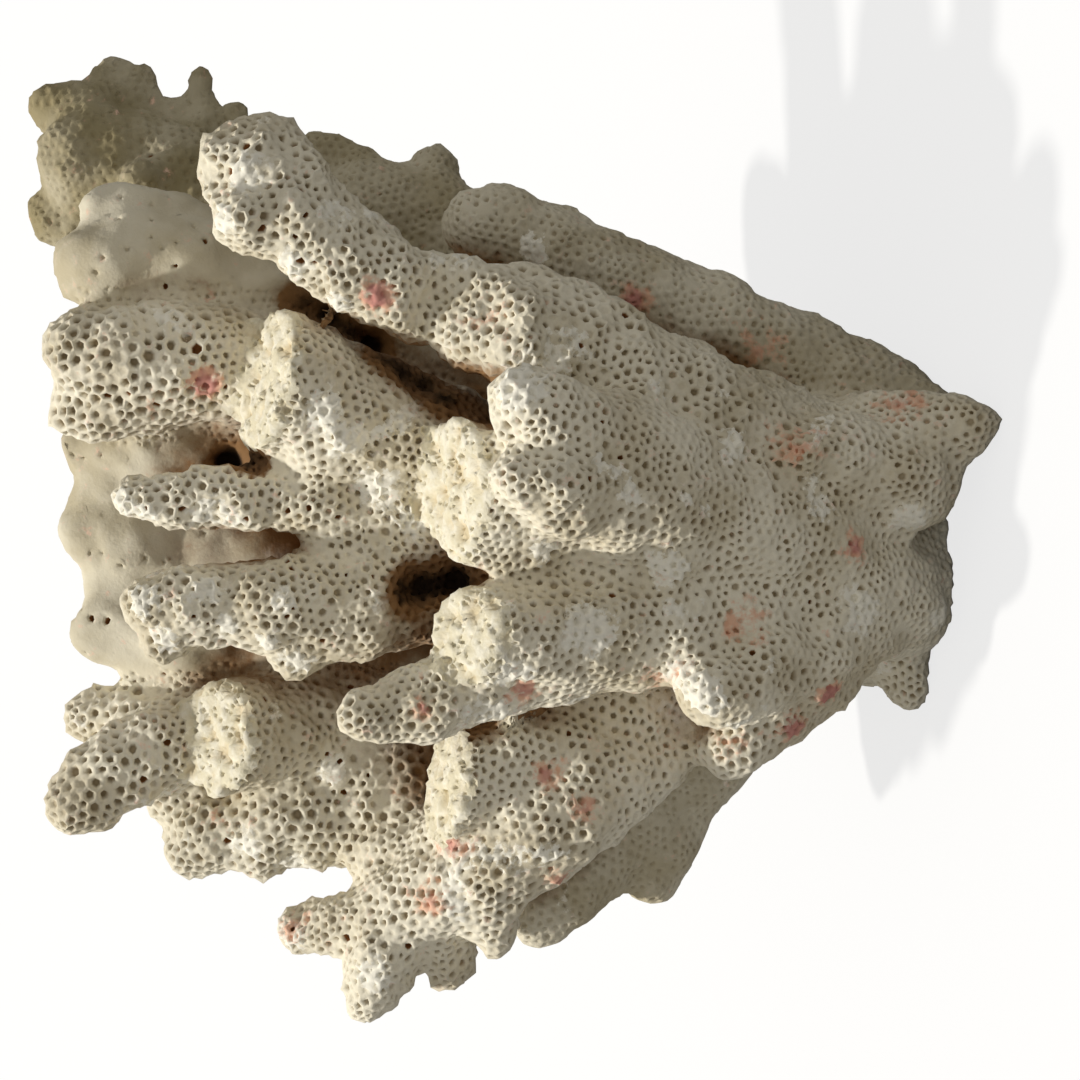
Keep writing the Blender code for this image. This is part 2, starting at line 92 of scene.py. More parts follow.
# Each stroke is a list of (across, up, near, radius), with across to the right of the standing coral.
STROKES = {
    "base": [
        [(-2, 6, -28, 17), (-1, 20, -22, 17), (0, 32, -14, 15.5), (1, 43, -8, 12)],
        [(14.6, 2, 3, 3.8), (13, 6, 0, 5.4), (10, 14, -4, 9), (8, 22, -6, 10)],
        [(-6, 8, -14, 7), (-6, 18, -6, 11), (-4, 30, 0, 12), (2, 40, 4, 11)],
        [(-10, 12, -16, 5.5), (-16.5, 10, -16, 4), (-19, 9.5, -16, 3)],
        [(-6, 8, -14, 5), (-6.5, 5.5, -15, 3.2)],
        [(8, 10, 0, 7), (10.5, 19, 5, 6), (10.8, 22.5, 7, 5)],
    ],
    "upper_limb": [
        [(7, 24, -2, 11), (13.5, 35.6, 6, 10), (21.5, 48, 10, 8.8), (26.5, 58, 12, 8),
         (29, 66, 13, 6.6), (32.5, 75, 14, 6.2), (37.5, 83, 15, 6.4), (43, 89.6, 16, 6.6),
         (45.4, 93, 16, 5.6)],
        [(44, 89, 16, 6), (48, 93.4, 16, 4.8), (48.6, 95, 16, 3.8)],
        [(44, 87, 16, 6), (49, 89.6, 15, 4.6), (50.6, 90.2, 15, 3.6)],
        [(41, 87, 17, 6), (40.4, 91, 18, 5), (40.4, 92.6, 18, 4.2)],
        [(25, 56, 12, 6.6), (26.4, 59, 16.5, 6.2), (27, 61, 18, 5.8)],
    ],
    "rear_upper_limb": [
        [(14.6, 6.9, -10, 4.8), (18.2, 13.1, -13, 5.8), (21.6, 21.9, -14, 6.2), (24.2, 28.1, -14, 6.6),
         (27.6, 35.6, -13, 6.8), (31.2, 45.6, -12, 6.6), (35.2, 53.1, -11, 6.6), (38.4, 60, -10, 5.8),
         (39.2, 63, -9, 5.2)],
    ],
    "far_upper_limb": [
        [(8, 22, -34, 10), (22, 42, -37, 9), (33, 58, -37, 8), (40, 70, -36, 6.5), (42, 78, -35, 5.5)],
        [(41, 70, -37, 4.4), (46, 69, -38, 3.8)],
        [(41, 74, -37, 4.4), (46, 78, -38, 3.6), (48.6, 83, -38, 3)],
    ],
    "crest_stem": [
        [(4, 30, -30, 10), (14, 52, -32, 9.5), (26, 74, -32, 9), (37, 91, -31, 8.5), (44, 102, -30, 9)],
    ],
    "far_back_branch": [
        [(26, 48, -38, 7), (24, 58, -46, 5.6), (27, 66, -49, 4)],
    ],
    "crest_back_branch": [
        [(22, 66, -32, 7), (16, 78, -39, 6), (16, 88, -43, 4.8)],
    ],
    "crest_knobs": [
        [(43, 101, -30, 8.6), (46, 106, -30, 7.8), (47, 112, -28, 6.6)],
        [(49, 109, -30, 5), (53, 112, -30, 4.4), (54, 116, -30, 3.6)],
        [(50, 107, -31, 4), (56, 109, -32, 2.3), (58.8, 109.2, -32, 1.9)],
        [(50, 104.6, -31, 3.6), (55, 105.2, -32, 2.0), (57.8, 105.2, -32, 1.7)],
        [(49, 101.6, -30, 3), (53, 101.7, -31, 1.8), (55.4, 101.7, -31, 1.6)],
        [(47, 97.4, -29, 3.4), (52, 97.6, -30, 2.2), (57.4, 97.9, -31, 2)],
        [(44, 92.4, -29, 3.2), (50, 92.6, -30, 2.2), (53.8, 93, -30, 1.9)],
        [(43, 104, -26, 5), (44.4, 105.2, -21, 3), (45.5, 105.4, -19, 2.4)],
        [(42, 106, -30, 5), (40, 113, -31, 4.2), (40, 117, -31, 3.4)],
    ],
    "smooth_limb": [
        [(6, 36, -20, 10), (15, 58, -18, 9), (24, 76, -14, 8), (32, 90, -8, 7.6), (35, 102, -4, 7.2),
         (34, 110, -2, 6.2)],
        [(35, 98, -6, 6), (40.5, 105, -4, 4), (41, 110, -4, 3.4)],
    ],
    "pitted_limb": [
        [(8, 60, -14, 8), (16, 78, -8, 8), (21.5, 93, 0, 7.6), (22.5, 105, 3, 7.4), (23.6, 112, 4, 6)],
        [(20, 100, 2, 6), (17, 110, 2, 4.6), (16, 114, 2, 3.8)],
    ],
    "web": [
        [(6, 50, -18, 9), (9, 70, -14, 8), (11, 90, -10, 7.4), (12, 104, -8, 6), (12, 111, -9, 4.6)],
        [(4, 62, -17, 8), (5, 80, -14, 7.4), (6, 98, -12, 6.4), (6.6, 109, -11, 5)],
        [(-2, 50, -18, 9), (-2, 70, -15, 8), (-2, 90, -12, 7.4), (-1, 103, -11, 6.2), (1, 111, -11, 4.8)],
        [(-7, 62, -18, 8), (-7.4, 80, -15, 7.2), (-7, 97, -13, 6.4), (-5, 108, -12, 5)],
        [(-10, 50, -18, 9), (-12, 70, -15, 8), (-13, 88, -12, 7), (-12, 104, -11, 5.6),
         (-11, 110, -11, 4.4)],
        [(-2, 70, -16, 7), (-5, 84, -22, 6), (-7, 94, -26, 4.6)],
    ],
    "broken_limb": [
        [(4, 46, -4, 10), (7, 60, 0, 9.6), (12, 73, 5, 9.4), (18, 85, 9, 9.2), (22, 93, 12, 9)],
    ],
    "hand_palm": [
        [(0, 44, -6, 9), (-1, 58, -1, 9), (-1, 70, 2, 8.6), (0, 78, 4, 7)],
        [(-1, 60, 0, 8), (-7, 74, 4, 7.6), (-9, 82, 6, 6.6)],
    ],
    "hand_upper_finger": [
        [(3, 74, 5, 6), (5, 82, 7, 5), (5.4, 92, 8.5, 4.4), (5, 102, 9, 3.8), (5.5, 107, 9, 2.8)],
    ],
    "hand_lower_finger": [
        [(-7, 78, 6, 7), (-8, 88, 8, 6.4), (-8, 98, 9, 5.2), (-8.4, 104.6, 9, 4)],
        [(-10, 84, 6, 5.4), (-14, 86.5, 6, 3.4)],
        [(-9, 98, 8, 4.4), (-12.6, 102.5, 8, 3.2)],
    ],
    "front_limb": [
        [(0, 24, -2, 12), (3, 34, 5, 12.5), (6, 43, 12, 11.5), (8, 48, 16, 9.5)],
    ],
    "front_upper_knob": [
        [(8, 43, 16, 9.4), (12, 50, 21, 7.8), (15.4, 55.4, 25, 6), (17, 58, 26, 4.8)],
    ],
    "front_small_finger": [
        [(6.6, 44, 18, 8), (6.2, 50, 23, 6.4), (7, 55, 27, 5), (7.6, 58.4, 28, 3.8)],
    ],
    "front_broken_finger": [
        [(2, 44, 9, 10), (5, 54, 14, 9), (6.2, 62, 17, 9), (7, 72, 19, 9)],
        [(0, 50, 12, 6), (0, 58, 17, 5), (0.5, 64, 18, 4)],
    ],
    "lower_front_limb": [
        [(-7, 24, -2, 11), (-9, 35.6, 5, 10), (-10.6, 45.6, 11, 8.4), (-11.4, 54, 16, 6.8),
         (-11.6, 62, 19, 6), (-11.4, 72, 22, 6)],
    ],
    "lower_front_finger": [
        [(-14, 50, 11, 6), (-17, 61, 14, 5.4), (-20.4, 71, 16, 5), (-22, 77, 17, 4)],
    ],
    "lower_limb": [
        [(-12, 26, -6, 11), (-18, 38, -4, 9.4), (-23, 48, 0, 8), (-27, 58, 4, 7.2), (-31.6, 70, 8, 6.6)],
    ],
    "bottom_limb": [
        [(-20, 38, -5, 8), (-27, 45, 1, 7.2), (-33, 51, 5, 7), (-39, 59, 4, 6.8), (-44, 68, 1, 6.2),
         (-47, 75, -3, 5.4)],
        [(-38, 64, 1, 5.4), (-38.6, 72, -4, 4.6), (-39, 76, -6, 4)],
        [(-46, 62, 2, 4.4), (-49.6, 61.5, 1, 3)],
    ],
    "bottom_fingers": [
        [(-47, 74, -2, 5), (-48, 81, -5, 4), (-48.4, 86, -7, 3.2)],
        [(-48, 73, -1, 5), (-53, 75.5, -1, 4.6), (-56.6, 76.5, -2, 3.8)],
        [(-48, 70, -2, 4.4), (-52, 67, -5, 3.8), (-53.4, 66.4, -5, 3.2)],
    ],
    "rear_bottom_limb": [
        [(-11, 22, -16, 9), (-18, 30, -18, 9), (-26, 37, -20, 8.2), (-34, 40.6, -20, 6.6),
         (-41, 41.4, -20, 4.4)],
        [(-26, 38, -19, 8), (-37, 47, -17, 6.6), (-44, 53, -14, 5), (-47.6, 56, -13, 3.8)],
    ],
    "side_nub": [
        [(-11, 18, -2, 7), (-15.6, 26, 8, 6), (-18.8, 34, 14, 5)],
        [(-17, 22, 0, 6), (-22, 28, 3, 5.4), (-25.6, 32, 5, 4.4)],
    ],
    "left_stem": [
        [(-10, 50, -22, 9), (-16, 68, -18, 8), (-21, 80, -12, 7.8), (-24, 90, -4, 7.6),
         (-25, 100, 3, 7.4)],
    ],
    "left_outer_limb": [
        [(-17, 76, -17, 7), (-21, 88, -13, 6.6), (-24, 98, -8, 6.2), (-28, 107, -5, 5.8),
         (-32, 113, -4, 4.8)],
        [(-24, 100, -9, 5.4), (-22, 108, -12, 4.2), (-22, 112, -13, 3.4)],
    ],
    "left_lower_limb": [
        [(-14, 50, -22, 9), (-24, 64, -14, 8), (-30, 74, -10, 7.6), (-34, 86, -10, 7), (-36, 96, -12, 6)],
        [(-36, 96, -12, 5), (-38.6, 99, -12, 4.2)],
        [(-36, 88, -10, 5), (-39.6, 90, -9, 3.4)],
        [(-35, 82, -10, 5), (-38, 84, -9, 4)],
        [(-34, 98, -12, 4.4), (-32.5, 102, -12, 3.2)],
    ],
    "back_upper_limb": [
        [(4, 22, -36, 10), (12, 40, -45, 9), (18, 54, -50, 7.6), (21, 68, -52, 6.4), (22, 79, -51, 4.8)],
        [(16, 52, -50, 6.6), (8, 64, -56, 5.6), (6, 74, -58, 4.4)],
    ],
    "back_middle_limb": [
        [(-4, 20, -36, 10), (-5, 40, -44, 9), (-4, 60, -46, 7.8), (-2, 78, -45, 6.4), (-4, 91, -43, 5)],
        [(-4, 58, -47, 6.4), (4, 68, -53, 5.4), (3, 80, -56, 4.2)],
    ],
    "back_lower_limb": [
        [(-9, 20, -34, 9), (-16, 36, -38, 8), (-22, 52, -40, 7), (-25, 66, -40, 6), (-27, 78, -38, 4.8)],
        [(-22, 52, -40, 6), (-30, 60, -43, 5.2), (-33, 68, -44, 4)],
    ],
}

# A break is (across, up, near), the direction that it faces in the same terms, and its reach.
BREAKS = {
    "upper_limb": [
        ((27.8, 63.6, 18), (0.2, 0.55, 1), 7),
    ],
    "broken_limb": [((20.4, 90.2, 11), (0.25, 1, 0.5), 16)],
    "front_broken_finger": [((6.2, 66.4, 19), (0, 1, 0.5), 16)],
    "lower_front_limb": [((-11.4, 64.4, 21), (0.1, 1, 1), 11)],
    "lower_limb": [((-30.6, 67.4, 8), (0.1, 1, 0.45), 13)],
    "left_stem": [((-24.6, 94.2, 3.4), (0, 1, 0.9), 13)],
}

# The branches that the skin is shared out into, each with the limbs that it stands for.
BRANCHES = {
    "foot": ["base"],
    "front_branch": [
        "front_limb", "front_upper_knob", "front_small_finger", "front_broken_finger",
        "lower_front_limb", "lower_front_finger", "side_nub",
    ],
    "upper_branch": ["upper_limb", "rear_upper_limb", "far_upper_limb", "far_back_branch"],
    "crest": ["crest_stem", "crest_knobs", "crest_back_branch"],
    "smooth_branch": ["smooth_limb", "pitted_limb", "web"],
    "hand": ["broken_limb", "hand_palm", "hand_upper_finger", "hand_lower_finger"],
    "bottom_branch": ["lower_limb", "bottom_limb", "bottom_fingers", "rear_bottom_limb"],
    "left_branch": ["left_stem", "left_outer_limb", "left_lower_limb"],
    "back_branch": ["back_upper_limb", "back_middle_limb", "back_lower_limb"],
}

# How deep each limb's pits are against the usual depth.
PIT_DEPTHS = {
    "smooth_limb": 0.0, "web": 0.0, "crest_stem": 0.35, "crest_knobs": 0.15, "crest_back_branch": 0.4,
    "far_upper_limb": 0.35, "rear_upper_limb": 0.55, "rear_bottom_limb": 0.35, "left_stem": 0.9,
    "upper_limb": 1.15, "pitted_limb": 1.4, "left_outer_limb": 1.3, "left_lower_limb": 1.2,
    "bottom_limb": 1.1, "bottom_fingers": 0.8,
}

# How wide each limb's cells are against the usual width.
CELL_WIDTHS = {
    "smooth_limb": 0.8, "web": 0.8, "upper_limb": 1.02, "pitted_limb": 1.3, "left_outer_limb": 1.2,
    "left_lower_limb": 1.15, "left_stem": 1.05, "bottom_limb": 1.05, "crest_stem": 1.1,
    "hand_palm": 0.95, "front_limb": 0.95, "base": 0.95,
}

# How knobbly each limb is against the usual.
KNOTS = {
    "upper_limb": 2.2, "bottom_limb": 1.6, "bottom_fingers": 2.0, "left_lower_limb": 2.0,
    "left_outer_limb": 1.6, "pitted_limb": 1.6, "hand_palm": 1.4, "hand_upper_finger": 1.8,
    "hand_lower_finger": 1.8, "broken_limb": 1.4, "left_stem": 1.4, "side_nub": 1.4,
    "rear_bottom_limb": 0.4, "web": 0.6, "smooth_limb": 0.5, "rear_upper_limb": 0.8,
}

# How much olive coat each limb has: partly a real coat, partly painted shade on limbs that lie in shade, such
# as the far and hidden ones.
FILMS_AND_SHADE = {
    "crest_stem": 1.3, "crest_knobs": 1.2, "crest_back_branch": 0.9, "far_upper_limb": 0.8,
    "rear_upper_limb": 0.45, "far_back_branch": 0.9, "upper_limb": 0.12, "web": 0.42, "smooth_limb": 0.45,
    "rear_bottom_limb": 0.5, "back_upper_limb": 0.7, "back_middle_limb": 0.6, "back_lower_limb": 0.6,
    "left_stem": 0.2, "left_lower_limb": 0.25,
}

# Hollows and bumps on the side that was photographed: (across, up, reach, height), hollows below zero.
FORMS = [
    (10.0, 91.6, 3.0, -7), (9.8, 94.6, 2.8, -6),
    (-2.5, 100, 7.5, -1.5), (-16.3, 92.5, 5.6, -1.5), (35.3, 92.8, 4.4, -1.4),
    (44.4, 91.5, 2.6, -1.6), (41.9, 80, 2.8, -1.2), (48.4, 95.2, 2.6, 1.5), (40.6, 93.2, 2.6, 1.4),
    (50.6, 90.6, 2.4, 1.2), (45.4, 95.6, 1.8, -1.6), (43, 95.4, 1.6, -1.2), (46.6, 88.6, 2.4, 1.2),
    (43, 86.4, 2.6, 1.1), (39.4, 85.4, 2.2, 0.9), (36.6, 80.6, 2.4, 0.8), (44.6, 83.4, 2.2, 0.9),
    (-3.8, 39.4, 3.2, 2.4), (-2.6, 37, 1.8, 1.0), (11, 22.5, 4.4, 2.0), (53.8, 104.4, 2.0, -1.6),
    (-5.6, 70.6, 3.8, -5), (-5, 66, 3.4, -5), (27.8, 82.2, 3.4, -3), (24, 77, 3.6, -4), (19.5, 70.6, 3.6, -4),
    (4.4, 55.3, 2.6, -1.6), (2.5, 51.9, 2.6, -1.4), (12.5, 58.8, 2.2, -1.6),
    (10.6, 56.4, 2.4, -1.5),
    (-19.4, 19.4, 1.8, 1.2), (-23.8, 23.8, 1.8, 1.2),
    (14.6, 81.6, 2.6, 0.9), (12.2, 79.6, 2.6, 0.9), (6.0, 74.5, 2.6, 0.8), (2.5, 72.0, 2.4, 0.7),
    (-13.8, 86.2, 2.4, 0.9), (-9.0, 104.4, 2.6, 0.7),
]

# Painted shade and brown staining deep in the gaps between the limbs, darkest at their middles: (across, up,
# reach).
SHADED_GAPS = [
    (29.6, 85.4, 4), (27.8, 82.2, 4), (26, 79.6, 4), (24, 77, 4), (22.4, 74.6, 4), (20.8, 72.4, 4),
    (19.2, 70, 4), (17.6, 67.6, 4), (-6.4, 72.8, 4), (-6, 70.6, 4), (-5.4, 68.2, 4), (-5, 66, 3.6),
    (10, 91.6, 4), (9.8, 93.2, 4), (9.8, 94.8, 4),
]

# Pink and red crusts: (across, up, reach, strength).
CRUSTS = [
    (30.6, 76, 3.0, 1.0), (19.4, 97.5, 3.4, 0.9), (30, 43.8, 3.4, 0.8), (-0.9, 15.9, 3.0, 0.8),
    (12.4, 23.5, 5.5, 0.45), (-21, 70, 2.2, 0.8), (-18.8, 57.5, 3.4, 0.7), (-38.1, 66.9, 4.4, 0.6),
    (-45, 69.4, 3.6, 0.6), (-29.4, 55, 2.6, 0.8), (-33.1, 50, 2.4, 0.8), (-42.5, 53.1, 3.6, 0.6),
    (-10.6, 30, 4.6, 0.5), (-19.4, 19.4, 2.8, 1.2), (-23.8, 23.8, 2.8, 1.1), (23.8, 28.1, 5.6, 0.45),
    (17.5, 10.6, 5.6, 0.5), (-48.1, 86.3, 3.6, 0.5), (-17, 40, 5, 0.3), (-25.6, 32, 4, 0.35),
    (17.5, 104, 3.0, 0.35), (27, 62, 4, 0.3), (-35, 96, 3, 0.3),
]

# Crumbly white patches: (across, up, reach).
CHALK = [
    (-3.8, 39.4, 4.2), (-11.3, 49.4, 5.2), (16.3, 82.4, 3.6), (12.5, 80.2, 3.4), (-8.8, 15.6, 4.4),
    (-18.8, 35.6, 4.2), (19.4, 58.5, 5.0), (6.5, 75.5, 4.0), (2.6, 71.5, 3.4), (5.0, 107.8, 2.8),
    (3.2, 104.8, 2.6), (4.2, 97.2, 2.4), (-7.4, 105.4, 3.4), (-12.4, 102.4, 2.8), (-6.2, 97.4, 3.0),
    (-11, 94.5, 2.6), (-12.6, 89.5, 2.6), (-7.4, 87.6, 2.8), (-15, 85.8, 3.2), (-2.2, 88.4, 2.6),
    (46, 92.4, 3.8), (40, 95, 3.2), (34.5, 86.4, 3.4), (29.5, 80.6, 3.0), (-38.2, 92.4, 3.4),
    (-40.2, 86.4, 3.0), (-28.4, 81.4, 3.0), (-49.6, 86.6, 3.4), (-54.4, 76.6, 3.6), (-17, 38.4, 3.2),
    (-20.2, 34.8, 3.2), (2.5, 9.5, 3.4), (11.6, 31.5, 3.2), (36.5, 56.5, 3.0), (-1.5, 55.5, 2.6),
]

# Holes that worms bored: (across, up, width against a pit's mouth).
BORES = [
    (15, 47.5, 1.1), (10.3, 45.6, 1.2), (0.6, 55, 1.1), (8.1, 49.1, 1.0), (-6.3, 46.6, 1.3),
    (1.3, 64.4, 1.1), (0.4, 63.1, 1.0), (37.5, 97.9, 1.7), (34.6, 101.5, 1.2), (31.4, 101.9, 1.4),
    (47.9, 104.6, 1.4), (23.3, 99.1, 1.6), (49.1, 91.5, 1.3), (43.6, 84.9, 1.5), (40.3, 78.8, 1.2),
    (40.1, 84.3, 1.0), (39.4, 90.5, 1.3), (37.9, 86.1, 1.1), (46.8, 94, 1.2), (34.5, 85.3, 1.6),
    (17.4, 109.3, 1.7), (16.3, 103.4, 1.4), (17.9, 106.8, 1.0), (19, 94.8, 1.2), (3.9, 99.6, 1.4),
    (3.6, 86.8, 1.1), (4.1, 84.3, 1.0), (2.4, 80.9, 1.1), (2.6, 92, 1.1), (4.5, 104.6, 1.0),
    (-2.6, 87.3, 1.1), (-3.5, 88.9, 1.1), (-3.4, 86.5, 1.1), (-4.5, 79.9, 1.0), (-4.8, 76.6, 1.0),
    (-8.5, 86.5, 1.1), (-10.3, 86.9, 1.1), (-12, 82.5, 1.1), (-10.8, 96.8, 1.0), (-9.5, 99.5, 1.0),
    (-9.5, 111.4, 1.5), (-10, 109.6, 1.5), (-16.9, 102.6, 1.2), (-26.1, 102.4, 1.4), (-30.5, 104.9, 1.5),
    (-37.6, 94.4, 1.7), (-26.8, 82.6, 1.2), (-27.8, 81, 1.1), (-29.4, 77.1, 1.1), (-32.3, 79.8, 1.1),
    (-49.8, 79.6, 1.5), (-49.1, 86.5, 1.1), (-19.6, 89.9, 1.3), (20, 38, 1.1), (5, 30, 1.0),
    (-14, 29, 1.0), (-30, 66, 1.2), (-24, 52, 1.1), (-8, 22, 1.1), (24, 50, 1.1),
]

# How the limbs are drawn and broken.
BEAD_SPACING = 0.3  # in shares of the balls' radius
BALL_FACETS = 3
BREAK_DEPTH = 30.0
BREAK_SIDES = 24
OLD_SCAR = 8.0  # a break with less reach has healed over
GROUND_BLOCK = 0.2

# How near a break's plane the skin counts as broken: in grains where it is melted, in metres after that.
BREAK_GRAINS = 2.5
BREAK_WIDTH = 0.0016
BREAK_CELLS = 0.0013
BREAK_SIDE = 0.25  # how far outside its limb a break may lie, as a share of the above

# How the skin is eased, lumped and evened out: steps in shares of the way, edges in shares of a cell.
EASING_STEP = 0.6
BREAK_HOLD = 0.95
LUMP_SINK = 0.2
FORM_EDGE = 0.8
LONG_EDGE = 1.35
SHORT_EDGE = 0.72
EVENING_ROUNDS = 6
SLIDES = 2
EVENING_STEP = 0.7
WIDTH_BLENDING = 3
SHAKE = 0.16
BREAK_FINENESS = 0.4
UNFOLDING = 20
UNFOLDING_STEP = 0.8
CREASED = (0.35, 0.65)  # how straight the skin is where smoothing it ends
FACING = (-0.1, 0.3)  # how far the skin faces the eye where a form is pressed into it
TURNED = (0.0, 0.5)  # how far it is turned away where the cells are wider

# Clouds of noise: the distance between two, the octaves and the offset, and where they set in and are full.
LUMP_OCTAVES = 4
CHALK_CLOUDS = (0.0085, 3, (3, 1, 7))
CHALKED = (0.36, 0.6)
CLOUD_CHALK = 0.5
WEAR_CLOUDS = (0.0038, 2, (9, 4, 2))
WORN = (0.05, 0.45)
WORN_PITS = 0.75
WORN_MOUTHS = 0.2
GNARL_CLOUDS = (0.0026, 3, (5, 5, 5))
VEIN_CLOUDS = (0.0065, 2, (1, 6, 2))
VEINED = (0.0, 0.16)
VEIN_HEIGHT = 0.8
HOLLOW_CLOUDS = (0.0024, 3, (2, 8, 1))
HOLLOWED = (0.05, 0.5)

# What is drawn at random for the cells: depths and mouths against the usual, and shares of all cells.
PITS = (0.7, 1.25)
MOUTHS = (0.75, 1.12)
CHALKY_MOUTHS = (0.35, 1.1)
BREAK_PITS = (0.2, 0.9)
BREAK_MOUTHS = (0.6, 1.2)
PORE_PITS = (0.15, 0.45)
PORE_MOUTHS = (0.4, 0.8)
CRUMBS = (-0.6, 1.0)
SHALLOW_SHARE = 0.06
SHALLOW_PIT = 0.15
BREAK_PIT_SHARE = 0.35
PORE_SHARE = 0.05
BORE_SHARE = 0.0012
BORE_PIT = 1.6
BORE_MOUTH = 0.9
BORE_WIDTH = 0.75
WIDEST_BORE = 1.2

# How far from each cell rays look for shelter, how many, how far off the skin and how low they start. The
# shelter is painted into the gaps as shade and brown staining.
SHELTER_REACH = 0.022
SHELTER_RAYS = 28
SHELTER_LIFT = 0.0006
LOWEST_RAY = 0.2
# How strongly the listed gaps darken the skin as painted shade and brown staining.
GAP_SHADE = 0.95

# Rounds in which the cells' depths, olive coats with their painted shade, and shelter are evened out with
# their neighbours'.
BLENDING = 4

# What lies this low is on the cut: points, the middles of cells, and points without knots.
CUT_POINTS = 0.0004
CUT_CELLS = 0.0005
CUT_KNOTS = 0.001

# The width of a pit's floor, and from what value a cell counts as smooth, pitted, chalky or torn.
PIT_FLOOR = 0.62
SMOOTH = 0.08
LEAST_PIT = 0.04
PITTED = 0.3
CHALKY = 0.35
TORN = 0.5

# The stage.
FLOOR_SIZE = 6.0
KEY_FROM = (-0.40, 0.12, 0.91)
KEY_COLOUR = (1.0, 0.965, 0.90)
ROOM_COLOUR = (1.0, 0.97, 0.91)
SENSOR = 36.0


def length(name, description, default):
    return FloatProperty(name=name, description=description, default=default, unit="LENGTH")


def share(name, description, default):
    return FloatProperty(name=name, description=description, default=default, subtype="FACTOR")


def colour(name, description, *default):
    return FloatVectorProperty(name=name, description=description, default=default, subtype="COLOR", size=3)


class CoralSkinSettings(bpy.types.PropertyGroup):
    """Sizes of the skin before it is pitted."""

    grain: length("Grain", "Size of the cells in which the limbs are melted together", 0.0008)
    easing: IntProperty(name="Easing", description="Rounds of smoothing that fillet the forks", default=2)
    lump_size: length("Lump size", "Distance between the lumps of the skin", 0.0056)
    lump_height: length("Lump height", "How far the lumps stand out", 0.00105)


class CoralPitSettings(bpy.types.PropertyGroup):
    """Sizes of the pits that the polyps sat in."""

    spacing: length("Spacing", "Usual distance between two pits", 0.00142)
    hidden: share("Hidden spacing", "How much wider apart the pits are at the back", 0.5)
    opening: share("Opening", "Width of a pit's mouth, as a share of its cell", 0.62)
    depth: length("Depth", "Depth of a full pit", 0.00058)
    ridge: length("Ridge", "Height of the ridge between two pits", 0.00016)
    uneven: length("Unevenness", "How far a pit's mouth strays from round", 0.00008)
    wall: length("Wall", "Thickness of the skin that is modelled", 0.0016)
    crumble: length("Crumble", "Height of the crumbs on chalky and broken places", 0.00048)
    pore: length("Pore", "Depth of the hollows in a broken face", 0.0008)
    gnarl: length("Gnarl", "Height of the small knots under the pits", 0.00036)
    seed: IntProperty(name="Seed", description="Sets which pits are deeper or wider", default=7)


class CoralColourSettings(bpy.types.PropertyGroup):
    """Colours of the bare skeleton, of what is stained or crusted on it, and of the shade painted into its
    pits, holes and gaps.
    """

    bone: colour("Bone", "Bleached skeleton", 0.88, 0.825, 0.675)
    shell: colour("Shell", "Greyer cloud in the skeleton", 0.68, 0.61, 0.455)
    chalk: colour("Chalk", "Worn, chalky skeleton", 0.98, 0.95, 0.84)
    # The pit colour is partly the tan of the floors and partly painted shade inside the pits.
    pit: colour("Pit", "Floor of a pit", 0.30, 0.22, 0.115)
    # This olive colour is partly a real coat on the skeleton and partly painted shade on limbs that lie in
    # shade.
    film_and_shade: colour("Film", "Thin olive film", 0.30, 0.25, 0.13)
    fracture: colour("Break", "Broken skeleton", 0.78, 0.72, 0.54)
    ochre: colour("Ochre", "Hollows of a broken face", 0.66, 0.52, 0.30)
    peach: colour("Peach", "Thin edge of a crust", 0.84, 0.50, 0.34)
    crust: colour("Crust", "Pink crust of algae", 0.60, 0.24, 0.21)
    # The brown colour here is partly a real staining and partly painted shade in the gaps; the near-black one
    # below it is painted shade in the deepest gaps.
    rust_and_shade: colour("Rust", "Brown stain deep between limbs", 0.24, 0.11, 0.027)
    gap_shade: colour("Dark", "The deepest gaps", 0.02, 0.011, 0.005)
    # Bored holes are deep brown inside, partly a real staining and partly painted shade in the hole.
    bore: colour("Bore", "Inside of a bored hole", 0.26, 0.11, 0.035)


class CoralStageSettings(bpy.types.PropertyGroup):
    """The floor and the lights."""

    floor: colour("Floor", "Colour of the floor", 0.20, 0.20, 0.20)
    glow: share("Floor glow", "How far the floor is lifted towards white in the picture", 0.76)
    key_power: FloatProperty(name="Key light", description="Strength of the key light", default=2.75)
    key_spread: FloatProperty(name="Key spread", description="Width of the key light in the sky",
                              default=math.radians(3), subtype="ANGLE")
    world_light: FloatProperty(name="Room light", description="Strength of the light all round", default=0.42)


def object_of(name, mesh):
    made = bpy.data.objects.new(name, mesh)
    bpy.context.scene.collection.objects.link(made)
    return made


def mesh_of(name, points, faces):
    made = bpy.data.meshes.new(name)
    made.from_pydata(np.asarray(points).tolist(), [], [list(face) for face in faces])
    made.update()
    return made


def object_from(name, form):
    """The finished form as an object of its own."""
    mesh = bpy.data.meshes.new(name)
    form.to_mesh(mesh)
    form.free()
    return object_of(name, mesh)


def form_of(mesh):
    """The mesh in triangles, in a form that can be edited."""
    form = bmesh.new()
    form.from_mesh(mesh)
    bmesh.ops.triangulate(form, faces=form.faces)
    return form


def settled(made):
    """The object with its modifiers worked out, as a plain mesh under the same name."""
    bpy.context.view_layer.update()
    graph = bpy.context.evaluated_depsgraph_get()
    mesh = bpy.data.meshes.new_from_object(made.evaluated_get(graph))
    name = made.name
    bpy.data.objects.remove(made)
    return object_of(name, mesh)


def melted(made, grain):
    skin = made.modifiers.new("skin", "REMESH")
    skin.mode = "VOXEL"
    skin.voxel_size = grain
    return settled(made)


def cut_away(made, cutter):
    """The object with the cutter's volume taken out of it."""
    bite = made.modifiers.new("bite", "BOOLEAN")
    bite.operation = "DIFFERENCE"
    bite.object = cutter
    made = settled(made)
    bpy.data.objects.remove(cutter)
    return made


